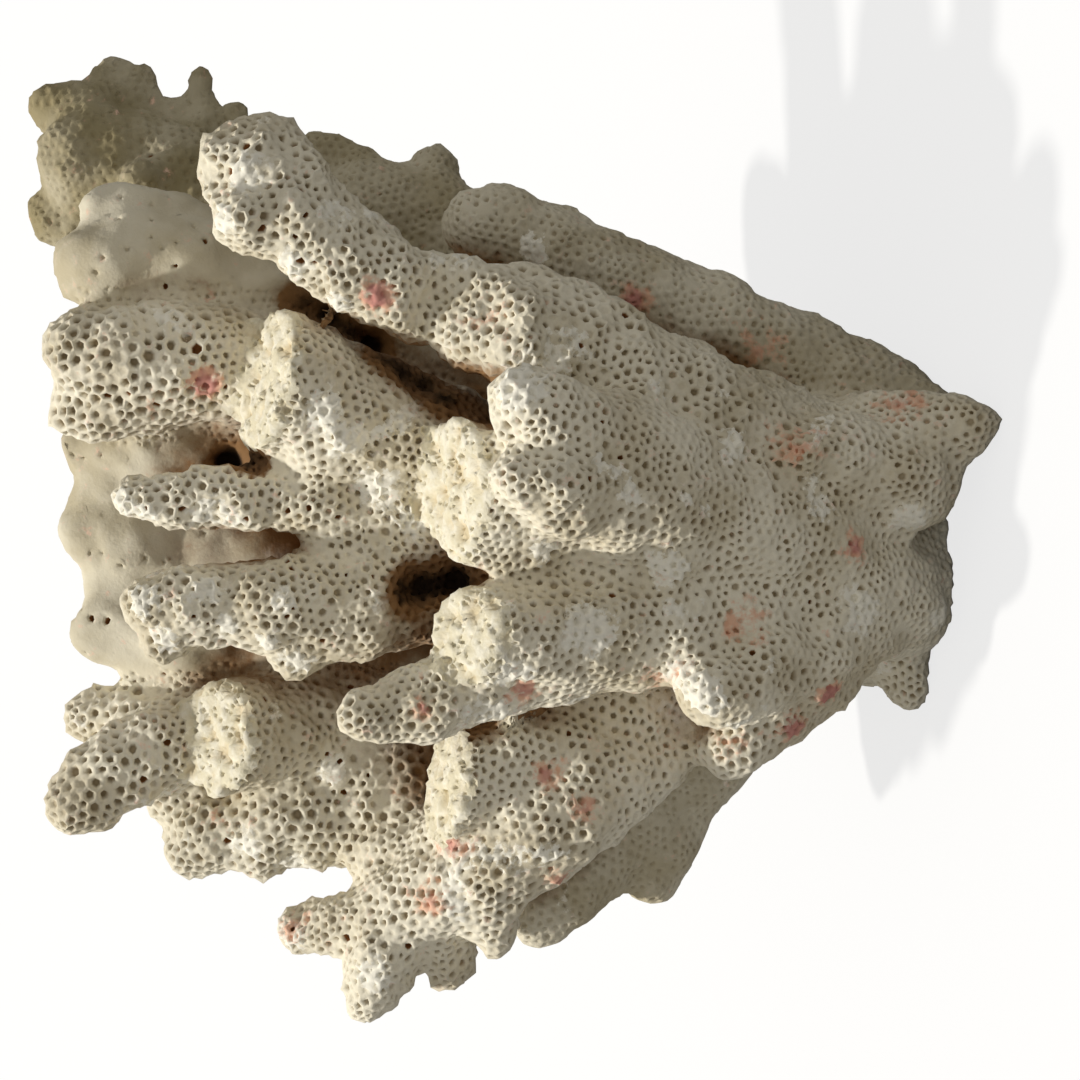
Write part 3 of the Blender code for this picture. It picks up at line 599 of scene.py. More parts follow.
def limb_balls(strokes):
    """Rows of x, y, z and radius in metres, closely spaced along the smooth curves through the strokes."""
    rows = []
    for stroke in strokes:
        knots = [(seen(a, u, n), r * (1 - n / VIEW_DISTANCE) * MM) for a, u, n, r in stroke]
        ends = [knots[0]] + knots + [knots[-1]]
        for before, start, end, after in zip(ends, ends[1:], ends[2:], ends[3:]):
            span = (end[0] - start[0]).length
            count = max(2, math.ceil(span / (BEAD_SPACING * min(start[1], end[1]))))
            for step in range(count):
                t = step / count
                weights = (
                    -0.5 * t + t * t - 0.5 * t**3,
                    1 - 2.5 * t * t + 1.5 * t**3,
                    0.5 * t + 2 * t * t - 1.5 * t**3,
                    -0.5 * t * t + 0.5 * t**3,
                )
                place = sum((w * k[0] for w, k in zip(weights, (before, start, end, after))), Vector())
                rows.append((*place, start[1] + (end[1] - start[1]) * t))
        rows.append((*knots[-1][0], knots[-1][1]))
    return np.array(rows)


def ball_string(name, balls):
    """All the balls of one limb as one mesh."""
    form = bmesh.new()
    bmesh.ops.create_icosphere(form, subdivisions=BALL_FACETS, radius=1.0)
    points = np.array([vertex.co for vertex in form.verts])
    faces = np.array([[vertex.index for vertex in face.verts] for face in form.faces])
    form.free()
    placed = balls[:, None, :3] + points[None] * balls[:, None, 3:]
    numbered = faces[None] + (np.arange(len(balls)) * len(points))[:, None, None]
    return object_of(name, mesh_of(name, placed.reshape(-1, 3), numbered.reshape(-1, 3)))


def break_plane(place, facing):
    """A point on a break and the direction that it faces, in the row frame."""
    across, up, near = facing
    middle = seen(0, PLANE_CENTRE_UP, 0)
    outward = (seen(across, PLANE_CENTRE_UP + up, near) - middle).normalized()
    return seen(*place), outward


def break_cutter(place, facing, reach):
    """A short cylinder whose end face is the broken surface."""
    start, outward = break_plane(place, facing)
    long = BREAK_DEPTH * MM
    wide = reach * MM
    form = bmesh.new()
    bmesh.ops.create_cone(form, cap_ends=True, segments=BREAK_SIDES, radius1=wide, radius2=wide, depth=long)
    turn = outward.to_track_quat("Z", "Y").to_matrix().to_4x4()
    half = Matrix.Translation(outward * BREAK_DEPTH * MM / 2)
    form.transform(Matrix.Translation(start) @ half @ turn)
    return object_from("break", form)


def ground_block():
    form = bmesh.new()
    bmesh.ops.create_cube(form, size=GROUND_BLOCK)
    form.transform(Matrix.Translation((0, 0, -GROUND_BLOCK / 2)))
    return object_from("ground", form)


def joined(name, parts):
    """One object holding the meshes of all the parts."""
    form = bmesh.new()
    for part in parts:
        form.from_mesh(part.data)
    for part in parts:
        bpy.data.objects.remove(part)
    return object_from(name, form)


def outer_shell(made):
    """Drops the small closed bubbles that melting leaves between limbs."""
    form = bmesh.new()
    form.from_mesh(made.data)
    bodies = []
    unseen = set(form.verts)
    while unseen:
        stack = [unseen.pop()]
        body = set(stack)
        while stack:
            for edge in stack.pop().link_edges:
                for vertex in edge.verts:
                    if vertex in unseen:
                        unseen.remove(vertex)
                        body.add(vertex)
                        stack.append(vertex)
        bodies.append(body)
    bodies.sort(key=len)
    bubbles = [vertex for body in bodies[:-1] for vertex in body]
    bmesh.ops.delete(form, geom=bubbles, context="VERTS")
    form.to_mesh(made.data)
    form.free()
    return made


def read(rows, field, width, kind=np.float32):
    """One field of every point, edge or face of a mesh, a row for each."""
    values = np.empty(len(rows) * width, dtype=kind)
    rows.foreach_get(field, values)
    return values.reshape(-1, width)


def points_of(mesh):
    return read(mesh.vertices, "co", 3).astype(float)


def put_points(mesh, points):
    mesh.vertices.foreach_set("co", np.ascontiguousarray(points, dtype=np.float32).ravel())
    mesh.update()


def normals_of(mesh):
    return read(mesh.vertices, "normal", 3).astype(float)


def edges_of(mesh):
    return read(mesh.edges, "vertices", 2, np.int32)


def neighbour_average(values, edges):
    """The mean of each vertex's neighbours."""
    total = np.zeros_like(values)
    count = np.zeros(len(values))
    for here, there in ((0, 1), (1, 0)):
        np.add.at(total, edges[:, here], values[edges[:, there]])
        np.add.at(count, edges[:, here], 1)
    count = np.maximum(count, 1)
    return total / (count[:, None] if values.ndim > 1 else count)


def noise_at(points, size, octaves, offset=(0, 0, 0)):
    """Smooth noise from -1 to 1 at each point, with features about the given size."""
    shift = Vector(offset)
    return np.array([noise.fractal(Vector(point) / size + shift, 1.0, 2.0, octaves) for point in points])


def ramp(values, low, high):
    """0 below low, 1 above high, and smooth between."""
    t = np.clip((values - low) / (high - low), 0, 1)
    return t * t * (3 - 2 * t)


def nearness(points, middle, reach):
    """1 at the middle, falling to 0 at the reach, which is in millimetres."""
    return 1 - np.linalg.norm(points - middle, axis=1) / (reach * MM)


LIMB_BALLS = {name: limb_balls(strokes) for name, strokes in STROKES.items()}


def limb_distance(points, name):
    """How far each point is outside the balls of a limb."""
    best = np.full(len(points), np.inf)
    for ball in LIMB_BALLS[name]:
        best = np.minimum(best, np.linalg.norm(points - ball[:3], axis=1) - ball[3])
    return best


def limb_of(points):
    """The number of the limb that each point belongs to."""
    return np.argmin(np.stack([limb_distance(points, name) for name in STROKES]), axis=0)


def by_limb(limbs, table, usual):
    """The table's value for each of the limbs."""
    return np.array([table.get(name, usual) for name in STROKES])[limbs]


def break_mask(points, slack):
    """1 where a point lies on a broken face, and 0 away from it."""
    mask = np.zeros(len(points))
    for name, breaks in BREAKS.items():
        inside = limb_distance(points, name) < BREAK_SIDE * slack
        for place, facing, reach in breaks:
            if reach < OLD_SCAR:
                continue
            start, outward = break_plane(place, facing)
            offset = points - np.array(start)
            height = offset @ np.array(outward)
            aside = np.linalg.norm(offset - height[:, None] * np.array(outward), axis=1)
            mask[inside & (np.abs(height) < slack) & (aside < reach * MM)] = 1
    return mask


def eye_place():
    """Where the photograph was taken from."""
    backward = Vector((0, -math.cos(VIEW_TILT), math.sin(VIEW_TILT)))
    return seen(0, PLANE_CENTRE_UP, 0) + backward * VIEW_DISTANCE * MM


def looking_at(points):
    """The direction from the eye to each point."""
    away = points - np.array(eye_place())
    return away / np.linalg.norm(away, axis=1)[:, None]


def found(surface, spots):
    """Where each spot, listed as it is seen from the eye, falls on the surface, with its other values."""
    eye = eye_place()
    places = []
    for across, up, *rest in spots:
        place = surface.ray_cast(eye, seen(across, up, 0) - eye)[0]
        if place:
            places.append((np.array(place), *rest))
    return places


def spot_mask(points, places):
    """1 in the middle of a spot, falling to 0 at its edge."""
    mask = np.zeros(len(points))
    for middle, reach, *strength in places:
        mask = np.maximum(mask, nearness(points, middle, reach) * (strength[0] if strength else 1))
    return mask


def tree_of(mesh):
    """The mesh in a form that rays can be cast at."""
    form = form_of(mesh)
    surface = BVHTree.FromBMesh(form)
    form.free()
    return surface


class OBJECT_OT_coral_skin(bpy.types.Operator):
    """Melt the limbs into one lumpy skin"""

    bl_idname = "object.coral_skin"
    bl_label = "Grow the skin"

    def execute(self, context):
        sizes = context.scene.coral_skin
        limbs = []
        for name, balls in LIMB_BALLS.items():
            limb = ball_string(name + "_balls", balls)
            if name in BREAKS:
                limb = melted(limb, sizes.grain)
                for place, facing, reach in BREAKS[name]:
                    limb = cut_away(limb, break_cutter(place, facing, reach))
            limbs.append(limb)
        skin = outer_shell(melted(joined("coral_skin", limbs), sizes.grain))
        points = points_of(skin.data)
        edges = edges_of(skin.data)
        broken = break_mask(points, BREAK_GRAINS * sizes.grain)
        yielding = (1 - BREAK_HOLD * neighbour_average(broken, edges))[:, None]
        for _ in range(sizes.easing):
            points += EASING_STEP * yielding * (neighbour_average(points, edges) - points)
        put_points(skin.data, points)
        lumps = noise_at(points, sizes.lump_size, LUMP_OCTAVES) - LUMP_SINK
        points += normals_of(skin.data) * (lumps * sizes.lump_height * yielding[:, 0])[:, None]
        put_points(skin.data, points)
        away = looking_at(points)
        facing = ramp(-np.sum(away * normals_of(skin.data), axis=1), *FACING)
        for middle, reach, height in found(tree_of(skin.data), FORMS):
            rise = ramp(nearness(points, middle, reach), 0, FORM_EDGE)
            points -= away * (rise * facing * height * MM)[:, None]
        put_points(skin.data, points)
        cut_away(skin, ground_block())
        return {"FINISHED"}


def split_long(form, reach):
    """Halves the edges that are longer than their reach."""
    long_edges = [edge for edge in form.edges if edge.calc_length() > reach[edge.verts[0].index] * LONG_EDGE]
    bmesh.ops.subdivide_edges(form, edges=long_edges, cuts=1)
    bmesh.ops.triangulate(form, faces=[face for face in form.faces if len(face.verts) > 3])


def merge_short(form, reach):
    """Merges the ends of short edges, one here and one there so that no two merges meet."""
    target = {}
    taken = set()
    edges = [(edge.calc_length(), edge) for edge in form.edges]
    edges = [(span, edge) for span, edge in edges if span < reach[edge.verts[0].index] * SHORT_EDGE]
    edges.sort(key=lambda pair: (pair[0], pair[1].index))
    for _, edge in edges:
        keep, drop = edge.verts
        if keep in taken or drop in taken:
            continue
        ring_keep = {other.other_vert(keep) for other in keep.link_edges}
        ring_drop = {other.other_vert(drop) for other in drop.link_edges}
        if len(ring_keep & ring_drop) != 2:
            continue
        target[drop] = keep
        keep.co = (keep.co + drop.co) / 2
        taken |= ring_keep | ring_drop
    bmesh.ops.weld_verts(form, targetmap=target)


def reach_on(skin, sizes, spacing):
    """How wide a cell is at each point of the skin: by its limb, finer on breaks, wider at the back."""
    points = points_of(skin.data)
    edges = edges_of(skin.data)
    width = by_limb(limb_of(points), CELL_WIDTHS, 1.0)
    width *= 1 - BREAK_FINENESS * break_mask(points, BREAK_WIDTH)
    turned = np.sum(looking_at(points) * normals_of(skin.data), axis=1)
    width *= 1 + sizes.hidden * ramp(turned, *TURNED)
    for _ in range(WIDTH_BLENDING):
        width = neighbour_average(width, edges)
    return spacing * width


def evened(skin, sizes, spacing):
    """The skin as near-regular triangles whose sides have the wanted reach at each place."""
    source = form_of(skin.data)
    surface = BVHTree.FromBMesh(source)
    wanted = reach_on(skin, sizes, spacing)
    face_reach = [wanted[face.verts[0].index] for face in source.faces]
    source.free()
    coarse = melted(object_of("coral_cells", skin.data.copy()), spacing)
    form = form_of(coarse.data)
    for _ in range(EVENING_ROUNDS):
        for step in (split_long, merge_short):
            form.verts.index_update()
            form.edges.index_update()
            step(form, [face_reach[surface.find_nearest(vertex.co)[2]] for vertex in form.verts])
        bmesh.ops.beautify_fill(form, faces=form.faces, edges=form.edges, method="ANGLE")
        form.to_mesh(coarse.data)
        points = points_of(coarse.data)
        edges = edges_of(coarse.data)
        normals = normals_of(coarse.data)
        for _ in range(SLIDES):
            pull = neighbour_average(points, edges) - points
            pull -= normals * np.sum(pull * normals, axis=1)[:, None]
            points += EVENING_STEP * pull
        for vertex, point in zip(form.verts, points):
            vertex.co = surface.find_nearest(point)[0]
    shaken = np.random.default_rng(sizes.seed).normal(0, SHAKE * spacing, (len(form.verts), 3))
    for vertex, shake in zip(form.verts, shaken):
        vertex.co = surface.find_nearest(vertex.co + Vector(shake))[0]
    form.to_mesh(coarse.data)
    form.free()
    coarse.data.update()
    unfold(coarse.data)
    return coarse


def unfold(mesh):
    """Smooths the places where the skin is creased back on itself, in the clefts between close limbs."""
    edges = edges_of(mesh)
    for _ in range(UNFOLDING):
        points = points_of(mesh)
        straight = np.linalg.norm(neighbour_average(normals_of(mesh), edges), axis=1)
        creased = 1 - ramp(straight, *CREASED)
        creased = np.maximum(creased, neighbour_average(creased, edges))[:, None]
        put_points(mesh, points + UNFOLDING_STEP * creased * (neighbour_average(points, edges) - points))


def node_of(tree, kind, inputs, **settings):
    """A node with its settings, and with its inputs linked to sockets or set to plain values."""
    node = tree.nodes.new(kind)
    for name, value in settings.items():
        setattr(node, name, value)
    for name, value in inputs.items():
        if isinstance(value, bpy.types.NodeSocket):
            tree.links.new(value, node.inputs[name])
        else:
            node.inputs[name].default_value = value
    return node


def math_of(tree, operation, *values):
    """One Math node on sockets or numbers."""
    return node_of(tree, "ShaderNodeMath", dict(enumerate(values)), operation=operation).outputs[0]


def times(tree, *values):
    return math_of(tree, "MULTIPLY", *values)


def plus(tree, *values):
    return math_of(tree, "ADD", *values)


def vector_of(tree, operation, *values):
    """One Vector Math node on one or two vectors."""
    return node_of(tree, "ShaderNodeVectorMath", dict(enumerate(values)), operation=operation).outputs[0]


def scaled(tree, vector, factor):
    """A vector times a number."""
    node = node_of(tree, "ShaderNodeVectorMath", {0: vector, "Scale": factor}, operation="SCALE")
    return node.outputs[0]


def stored(tree, name):
    """A number that the mesh stores under the name."""
    node = node_of(tree, "GeometryNodeInputNamedAttribute", {"Name": name}, data_type="FLOAT")
    return node.outputs["Attribute"]


def above(tree, value, limit):
    """True where the value is greater than the limit."""
    return node_of(tree, "FunctionNodeCompare", {0: value, 1: limit}, operation="GREATER_THAN").outputs[0]


def geometry_tree(name, **inputs):
    """A geometry node tree with named inputs, with its way in and its way out."""
    tree = bpy.data.node_groups.new(name, "GeometryNodeTree")
    tree.interface.new_socket("Geometry", in_out="INPUT", socket_type="NodeSocketGeometry")
    for label, kind in inputs.items():
        tree.interface.new_socket(label, in_out="INPUT", socket_type="NodeSocket" + kind)
    tree.interface.new_socket("Geometry", in_out="OUTPUT", socket_type="NodeSocketGeometry")
    return tree, tree.nodes.new("NodeGroupInput").outputs, tree.nodes.new("NodeGroupOutput").inputs


def socket_of(tree, name):
    """The identifier of a node tree's input."""
    for item in tree.interface.items_tree:
        if item.item_type == "SOCKET" and item.in_out == "INPUT" and item.name == name:
            return item.identifier
    raise RuntimeError("the tree has no input called " + name)


def cell_tree():
    """Turns each vertex of an even skin into a cell, which is one corallite."""
    tree, entry, leave = geometry_tree("Corallite cells")
    dual = node_of(tree, "GeometryNodeDualMesh", {"Mesh": entry["Geometry"]})
    tree.links.new(dual.outputs["Dual Mesh"], leave["Geometry"])
    return tree


def pit_tree():
    """Opens every cell into a round pit with a ridge round it, a sloping wall and a floor."""
    tree, entry, leave = geometry_tree(
        "Corallite pits", Opening="Float", Depth="Float", Ridge="Float", Unevenness="Float",
        Seed="Int", Skeleton="Material", Break="Material",
    )
    pit = stored(tree, "pit")
    place = node_of(tree, "GeometryNodeInputPosition", {}).outputs[0]
    keep = node_of(tree, "GeometryNodeCaptureAttribute", {"Geometry": entry["Geometry"]}, domain="FACE")
    for label, kind, value in (
        ("Middle", "VECTOR", place),
        ("Outward", "VECTOR", node_of(tree, "GeometryNodeInputNormal", {}).outputs[0]),
        ("Area", "FLOAT", node_of(tree, "GeometryNodeInputMeshFaceArea", {}).outputs[0]),
    ):
        keep.capture_items.new(kind, label)
        tree.links.new(value, keep.inputs[label])
    middle = keep.outputs["Middle"]
    lip = node_of(
        tree, "GeometryNodeExtrudeMesh",
        {"Mesh": keep.outputs["Geometry"], "Selection": above(tree, pit, LEAST_PIT), "Offset Scale": 0.0,
         "Individual": True}, mode="FACES",
    )
    mouth = times(tree, entry["Opening"], stored(tree, "opening"))
    spoke = vector_of(tree, "SUBTRACT", place, middle)
    radius = math_of(tree, "SQRT", math_of(tree, "DIVIDE", keep.outputs["Area"], math.pi))
    round_spoke = scaled(tree, vector_of(tree, "NORMALIZE", spoke), radius)
    mean_spoke = scaled(tree, vector_of(tree, "ADD", round_spoke, spoke), 0.5)
    rim = vector_of(tree, "ADD", middle, scaled(tree, mean_spoke, mouth))
    stray = node_of(
        tree, "FunctionNodeRandomValue", {0: (-1, -1, -1), 1: (1, 1, 1), "Seed": entry["Seed"]},
        data_type="FLOAT_VECTOR",
    ).outputs[0]
    rim = vector_of(tree, "ADD", rim, scaled(tree, stray, entry["Unevenness"]))
    dip = scaled(tree, keep.outputs["Outward"], times(tree, entry["Ridge"], -1.0))
    shape = node_of(
        tree, "GeometryNodeSetPosition",
        {"Geometry": lip.outputs["Mesh"], "Selection": lip.outputs["Top"], "Position": rim, "Offset": dip},
    )
    drop = times(tree, times(tree, entry["Depth"], pit), -1.0)
    sink = node_of(
        tree, "GeometryNodeExtrudeMesh",
        {"Mesh": shape.outputs["Geometry"], "Selection": lip.outputs["Top"], "Offset Scale": drop,
         "Individual": True}, mode="FACES",
    )
    floor = sink.outputs["Top"]
    narrow = node_of(
        tree, "GeometryNodeScaleElements",
        {"Geometry": sink.outputs["Mesh"], "Selection": floor, "Scale": PIT_FLOOR}, domain="FACE",
    )
    # How deep each point lies in its pit; the materials darken the floors by it as painted shade.
    how_deep = math_of(tree, "MINIMUM", times(tree, floor, pit), 1.0)
    mark = node_of(
        tree, "GeometryNodeStoreNamedAttribute",
        {"Geometry": narrow.outputs["Geometry"], "Name": "deep", "Value": how_deep},
        data_type="FLOAT", domain="POINT",
    )
    smooth = node_of(tree, "GeometryNodeSetShadeSmooth", {"Geometry": mark.outputs["Geometry"]})
    solid = node_of(tree, "GeometryNodeRealizeInstances", {"Geometry": smooth.outputs["Geometry"]})
    bare = node_of(
        tree, "GeometryNodeSetMaterial",
        {"Geometry": solid.outputs["Geometry"], "Material": entry["Skeleton"]},
    )
    torn = node_of(
        tree, "GeometryNodeSetMaterial",
        {"Geometry": bare.outputs["Geometry"], "Selection": above(tree, stored(tree, "broken"), TORN),
         "Material": entry["Break"]},
    )
    tree.links.new(torn.outputs["Geometry"], leave["Geometry"])
    return tree


def put_values(mesh, name, domain, values):
    """Stores one number for each point or face."""
    layer = mesh.attributes.new(name, "FLOAT", domain)
    layer.data.foreach_set("value", np.ascontiguousarray(values, dtype=np.float32))


class OBJECT_OT_coral_cells(bpy.types.Operator):
    """Cover the skin evenly with cells, one for each corallite"""

    bl_idname = "object.coral_cells"
    bl_label = "Lay out the cells"

    def execute(self, context):
        sizes = context.scene.coral_pits
        skin = bpy.data.objects["coral_skin"]
        spacing = sizes.spacing * 1.0
        cells = evened(skin, sizes, spacing)
        bpy.data.objects.remove(skin)
        modifier = cells.modifiers.new("cells", "NODES")
        modifier.node_group = cell_tree()
        settled(cells)
        return {"FINISHED"}


class Cells:
    """The cells of a skin, and the means that pass values between them and the skin's points."""

    def __init__(self, mesh):
        corners = read(mesh.loops, "vertex_index", 1, np.int32).ravel()
        sizes = read(mesh.polygons, "loop_total", 1, np.int32).ravel()
        self.corners = corners
        self.sizes = sizes
        self.lists = np.split(corners, np.cumsum(sizes)[:-1])
        self.owners = np.repeat(np.arange(len(sizes)), sizes)
        self.meetings = np.maximum(np.bincount(corners, minlength=len(mesh.vertices)), 1)

    def to_points(self, values):
        """The mean at each point of the cells round it."""
        total = np.bincount(self.corners, weights=values[self.owners], minlength=len(self.meetings))
        return total / self.meetings

    def to_cells(self, values):
        """The mean in each cell of its corner points."""
        return np.bincount(self.owners, weights=values[self.corners]) / self.sizes

    def vectors(self, values):
        """The mean vector in each cell."""
        return np.stack([self.to_cells(values[:, axis]) for axis in range(3)], axis=1)


def shelter(surface, places, outward):
    """The share of the view from each place that the coral itself closes off within reach, which sets where
    the gaps get painted shade and brown staining.
    """
    numbers = np.arange(SHELTER_RAYS)
    turn = numbers * math.pi * (3 - math.sqrt(5))
    height = 1 - (2 * numbers + 1) / SHELTER_RAYS
    flat = np.sqrt(1 - height * height)
    rays = [Vector(ray) for ray in zip(flat * np.cos(turn), flat * np.sin(turn), height)]
    closed = np.zeros(len(places))
    for number, (place, normal) in enumerate(zip(places, outward)):
        up = Vector(normal)
        start = Vector(place) + up * SHELTER_LIFT
        tried = [ray for ray in rays if ray.dot(up) > LOWEST_RAY] or rays
        hits = [ray for ray in tried if surface.ray_cast(start, ray, SHELTER_REACH)[0]]
        closed[number] = len(hits) / len(tried)
    return closed


def cell_values(cells, points, normals, surface, random):
    """The numbers of every cell: which limb it is on, how it is broken, coated, stained and darkened with
    painted shade, crusted and pitted.
    """
    centres = cells.vectors(points)
    outward = cells.vectors(normals)
    outward /= np.maximum(np.linalg.norm(outward, axis=1), 0.05)[:, None]
    limbs = limb_of(centres)
    sawn = (centres[:, 2] < CUT_CELLS).astype(float)
    broken = break_mask(centres, BREAK_CELLS)
    torn = broken > TORN
    usual_pit = by_limb(limbs, PIT_DEPTHS, 1.0)
    pit, film_and_shade, closed = usual_pit, by_limb(limbs, FILMS_AND_SHADE, 0.0), shelter(surface, centres, outward)
    for _ in range(BLENDING):
        pit, film_and_shade, closed = (cells.to_cells(cells.to_points(values)) for values in (pit, film_and_shade, closed))
    # The listed gaps add painted shade and brown staining on top of the shelter.
    closed += GAP_SHADE * np.clip(spot_mask(centres, found(surface, SHADED_GAPS)), 0, 1)
    chalk = spot_mask(centres, found(surface, CHALK))
    clouds = noise_at(centres, *CHALK_CLOUDS)
    chalk = np.maximum(chalk, CLOUD_CHALK * ramp(clouds, *CHALKED) * np.clip(1 - film_and_shade, 0, 1) * (pit > PITTED))
    worn = ramp(noise_at(centres, *WEAR_CLOUDS), *WORN)
    smooth = pit < SMOOTH
    count = len(pit)
    pit *= random.uniform(*PITS, count) * (1 - WORN_PITS * worn)
    opening = random.uniform(*MOUTHS, count) * (1 - WORN_MOUTHS * worn)
    opening *= 1 + 0.3 * (np.clip(usual_pit, 0.4, 1.5) - 1)
    pit[random.random(count) < SHALLOW_SHARE] *= SHALLOW_PIT
    chalky = chalk > CHALKY
    opening[chalky] = random.uniform(*CHALKY_MOUTHS, chalky.sum())
    pit[torn] = random.uniform(*BREAK_PITS, torn.sum()) * (random.random(torn.sum()) < BREAK_PIT_SHARE)
    opening[torn] = random.uniform(*BREAK_MOUTHS, torn.sum())
    pit[smooth & ~torn] = 0
    pore = smooth & (random.random(count) < PORE_SHARE)
    pit[pore] = random.uniform(*PORE_PITS, pore.sum())
    opening[pore] = random.uniform(*PORE_MOUTHS, pore.sum())
    bore = (random.random(count) < BORE_SHARE) & (pit > PITTED) & ~torn
    opening[bore] = BORE_MOUTH
    for middle, width in found(surface, BORES):
        nearest = np.argmin(np.linalg.norm(centres - middle, axis=1))
        bore[nearest] = True
        opening[nearest] = min(WIDEST_BORE, BORE_WIDTH * width)
    pit[bore] = BORE_PIT
    pit *= 1 - sawn
    return {
        "limb": limbs, "sawn": sawn, "broken": broken, "smooth": smooth.astype(float), "film_and_shade": film_and_shade,
        "closed": closed, "crust": spot_mask(centres, found(surface, CRUSTS)), "chalk": chalk, "pit": pit,
        "opening": opening, "bore": bore.astype(float),
    }


def relief(cells, values, points, sizes, random):
    """How far ridges, crumbs, knots and veins raise each point, and how hollow a break is there."""
    broken = cells.to_points(values["broken"])
    closed = cells.to_points(values["closed"])
    chalk = cells.to_points(values["chalk"])
    bare = cells.to_points(values["smooth"])
    knots = cells.to_points(by_limb(values["limb"], KNOTS, 1.0))
    loose = np.maximum(ramp(values["chalk"], 0.1, 0.6), values["broken"]) * (1 - values["sawn"])
    crumbs = cells.to_points(loose)
    gnarls = noise_at(points, *GNARL_CLOUDS) * sizes.gnarl * knots
    veins = 1 - ramp(np.abs(noise_at(points, *VEIN_CLOUDS)), *VEINED)
    gnarls += VEIN_HEIGHT * sizes.gnarl * veins * bare
    crumbs *= 1 - 0.6 * broken
    crumbs *= 1 - ramp(closed, 0.45, 0.7)
    crumbs = np.maximum(crumbs, 0.22 * np.clip(knots - 0.6, 0, 1.4))
    height = sizes.ridge * 0.5 + sizes.crumble * crumbs * random.uniform(*CRUMBS, len(points))
    height += 0.5 * sizes.crumble * ramp(chalk, 0.2, 0.7)
    height += gnarls * (points[:, 2] > CUT_KNOTS)
    hollow = ramp(noise_at(points, *HOLLOW_CLOUDS), *HOLLOWED) * broken
    return height - sizes.pore * hollow, hollow


def inner_side(mesh, points, normals, wall):
    """Where the inside of the skin runs, a wall's thickness below its outside."""
    links = edges_of(mesh)
    inner = neighbour_average(points - neighbour_average(normals, links) * wall, links)
    inner[:, 2] = np.where(points[:, 2] <= 0, wall, inner[:, 2])
    return inner


def shell_piece(name, cells, torn, points, inner):
    """A closed shell from some of the cells: their outer side, the same inside, and a rim between.

    Returns the mesh, the outer points' numbers in the whole skin, and the number of outer cells. The shading
    breaks at the rim and round the torn cells.
    """
    used = np.unique(np.concatenate(cells))
    number = {int(old): new for new, old in enumerate(used)}
    outside = [[number[int(corner)] for corner in cell] for cell in cells]
    count = len(used)
    inside = [[corner + count for corner in reversed(cell)] for cell in outside]
    sides = {}
    for cell, is_torn in zip(outside, torn):
        for first, second in zip(cell, cell[1:] + cell[:1]):
            sides[(first, second)] = is_torn
    rim = [
        [second, first, first + count, second + count]
        for first, second in sides
        if (second, first) not in sides
    ]
    mesh = mesh_of(name, np.concatenate([points[used], inner[used]]), outside + inside + rim)
    edges = np.sort(edges_of(mesh), axis=1)
    border = {tuple(sorted(side[:2])) for side in rim}
    border |= {
        tuple(sorted(side))
        for side, is_torn in sides.items()
        if is_torn and not sides.get(side[::-1], True)
    }
    sharp = np.array([tuple(edge) in border for edge in edges.tolist()])
    layer = mesh.attributes.new("sharp_edge", "BOOLEAN", "EDGE")
    layer.data.foreach_set("value", sharp)
    return mesh, used, len(cells)


class OBJECT_OT_coral_branches(bpy.types.Operator):
    """Share the skin out into branches and open every cell into a pit"""

    bl_idname = "object.coral_branches"
    bl_label = "Open the pits"

    def execute(self, context):
        sizes = context.scene.coral_pits
        whole = bpy.data.objects["coral_cells"]
        cells = Cells(whole.data)
        points = points_of(whole.data)
        points[:, 2] = np.where(points[:, 2] < CUT_POINTS, 0, points[:, 2])
        normals = normals_of(whole.data)
        random = np.random.default_rng(sizes.seed)
        values = cell_values(cells, points, normals, tree_of(whole.data), random)
        height, hollow = relief(cells, values, points, sizes, random)
        raised = points + normals * height[:, None]
        raised[:, 2] = np.where(points[:, 2] <= 0, 0, raised[:, 2])
        raised = np.clip(raised, *np.array(CAD_BOX))
        inner = inner_side(whole.data, points, normals, sizes.wall)
        stains_and_shade = ("crust", "chalk", "film_and_shade", "closed")
        outer_values = {label: cells.to_points(values[label]) for label in stains_and_shade}
        outer_values["hollow"] = hollow
        # The inside of the skin counts as fully sheltered and is painted in the darkest shade.
        inner_values = dict(outer_values, closed=np.ones(len(points)))
        tree = pit_tree()
        inputs = {
            "Opening": sizes.opening, "Depth": sizes.depth, "Ridge": sizes.ridge, "Unevenness": sizes.uneven,
            "Seed": sizes.seed, "Skeleton": skeleton_material(context.scene.coral_colours),
            "Break": break_material(context.scene.coral_colours),
        }
        names = list(STROKES)
        for branch, members in BRANCHES.items():
            chosen = np.flatnonzero(np.isin(values["limb"], [names.index(member) for member in members]))
            torn = values["broken"][chosen] > TORN
            shared = [cells.lists[i] for i in chosen]
            mesh, used, count = shell_piece(branch + "_skin", shared, torn, raised, inner)
            for label in ("pit", "opening", "broken", "bore"):
                in_faces = np.zeros(len(mesh.polygons))
                in_faces[:count] = values[label][chosen]
                put_values(mesh, label, "FACE", in_faces)
            for label in outer_values:
                both = np.concatenate([outer_values[label][used], inner_values[label][used]])
                put_values(mesh, label, "POINT", both)
            piece = object_of(branch + "_skin", mesh)
            modifier = piece.modifiers.new("pits", "NODES")
            modifier.node_group = tree
            for label, value in inputs.items():
                modifier[socket_of(tree, label)] = value
            piece = settled(piece)
            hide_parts(*members)
            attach(piece, "root")
        bpy.data.objects.remove(whole)
        return {"FINISHED"}


def texture_noise(tree, place, scale, detail, roughness=0.55):
    """Smooth noise about 0.5 at a place."""
    inputs = {"Scale": scale, "Detail": detail, "Roughness": roughness, "Vector": place}
    return node_of(tree, "ShaderNodeTexNoise", inputs).outputs["Fac"]


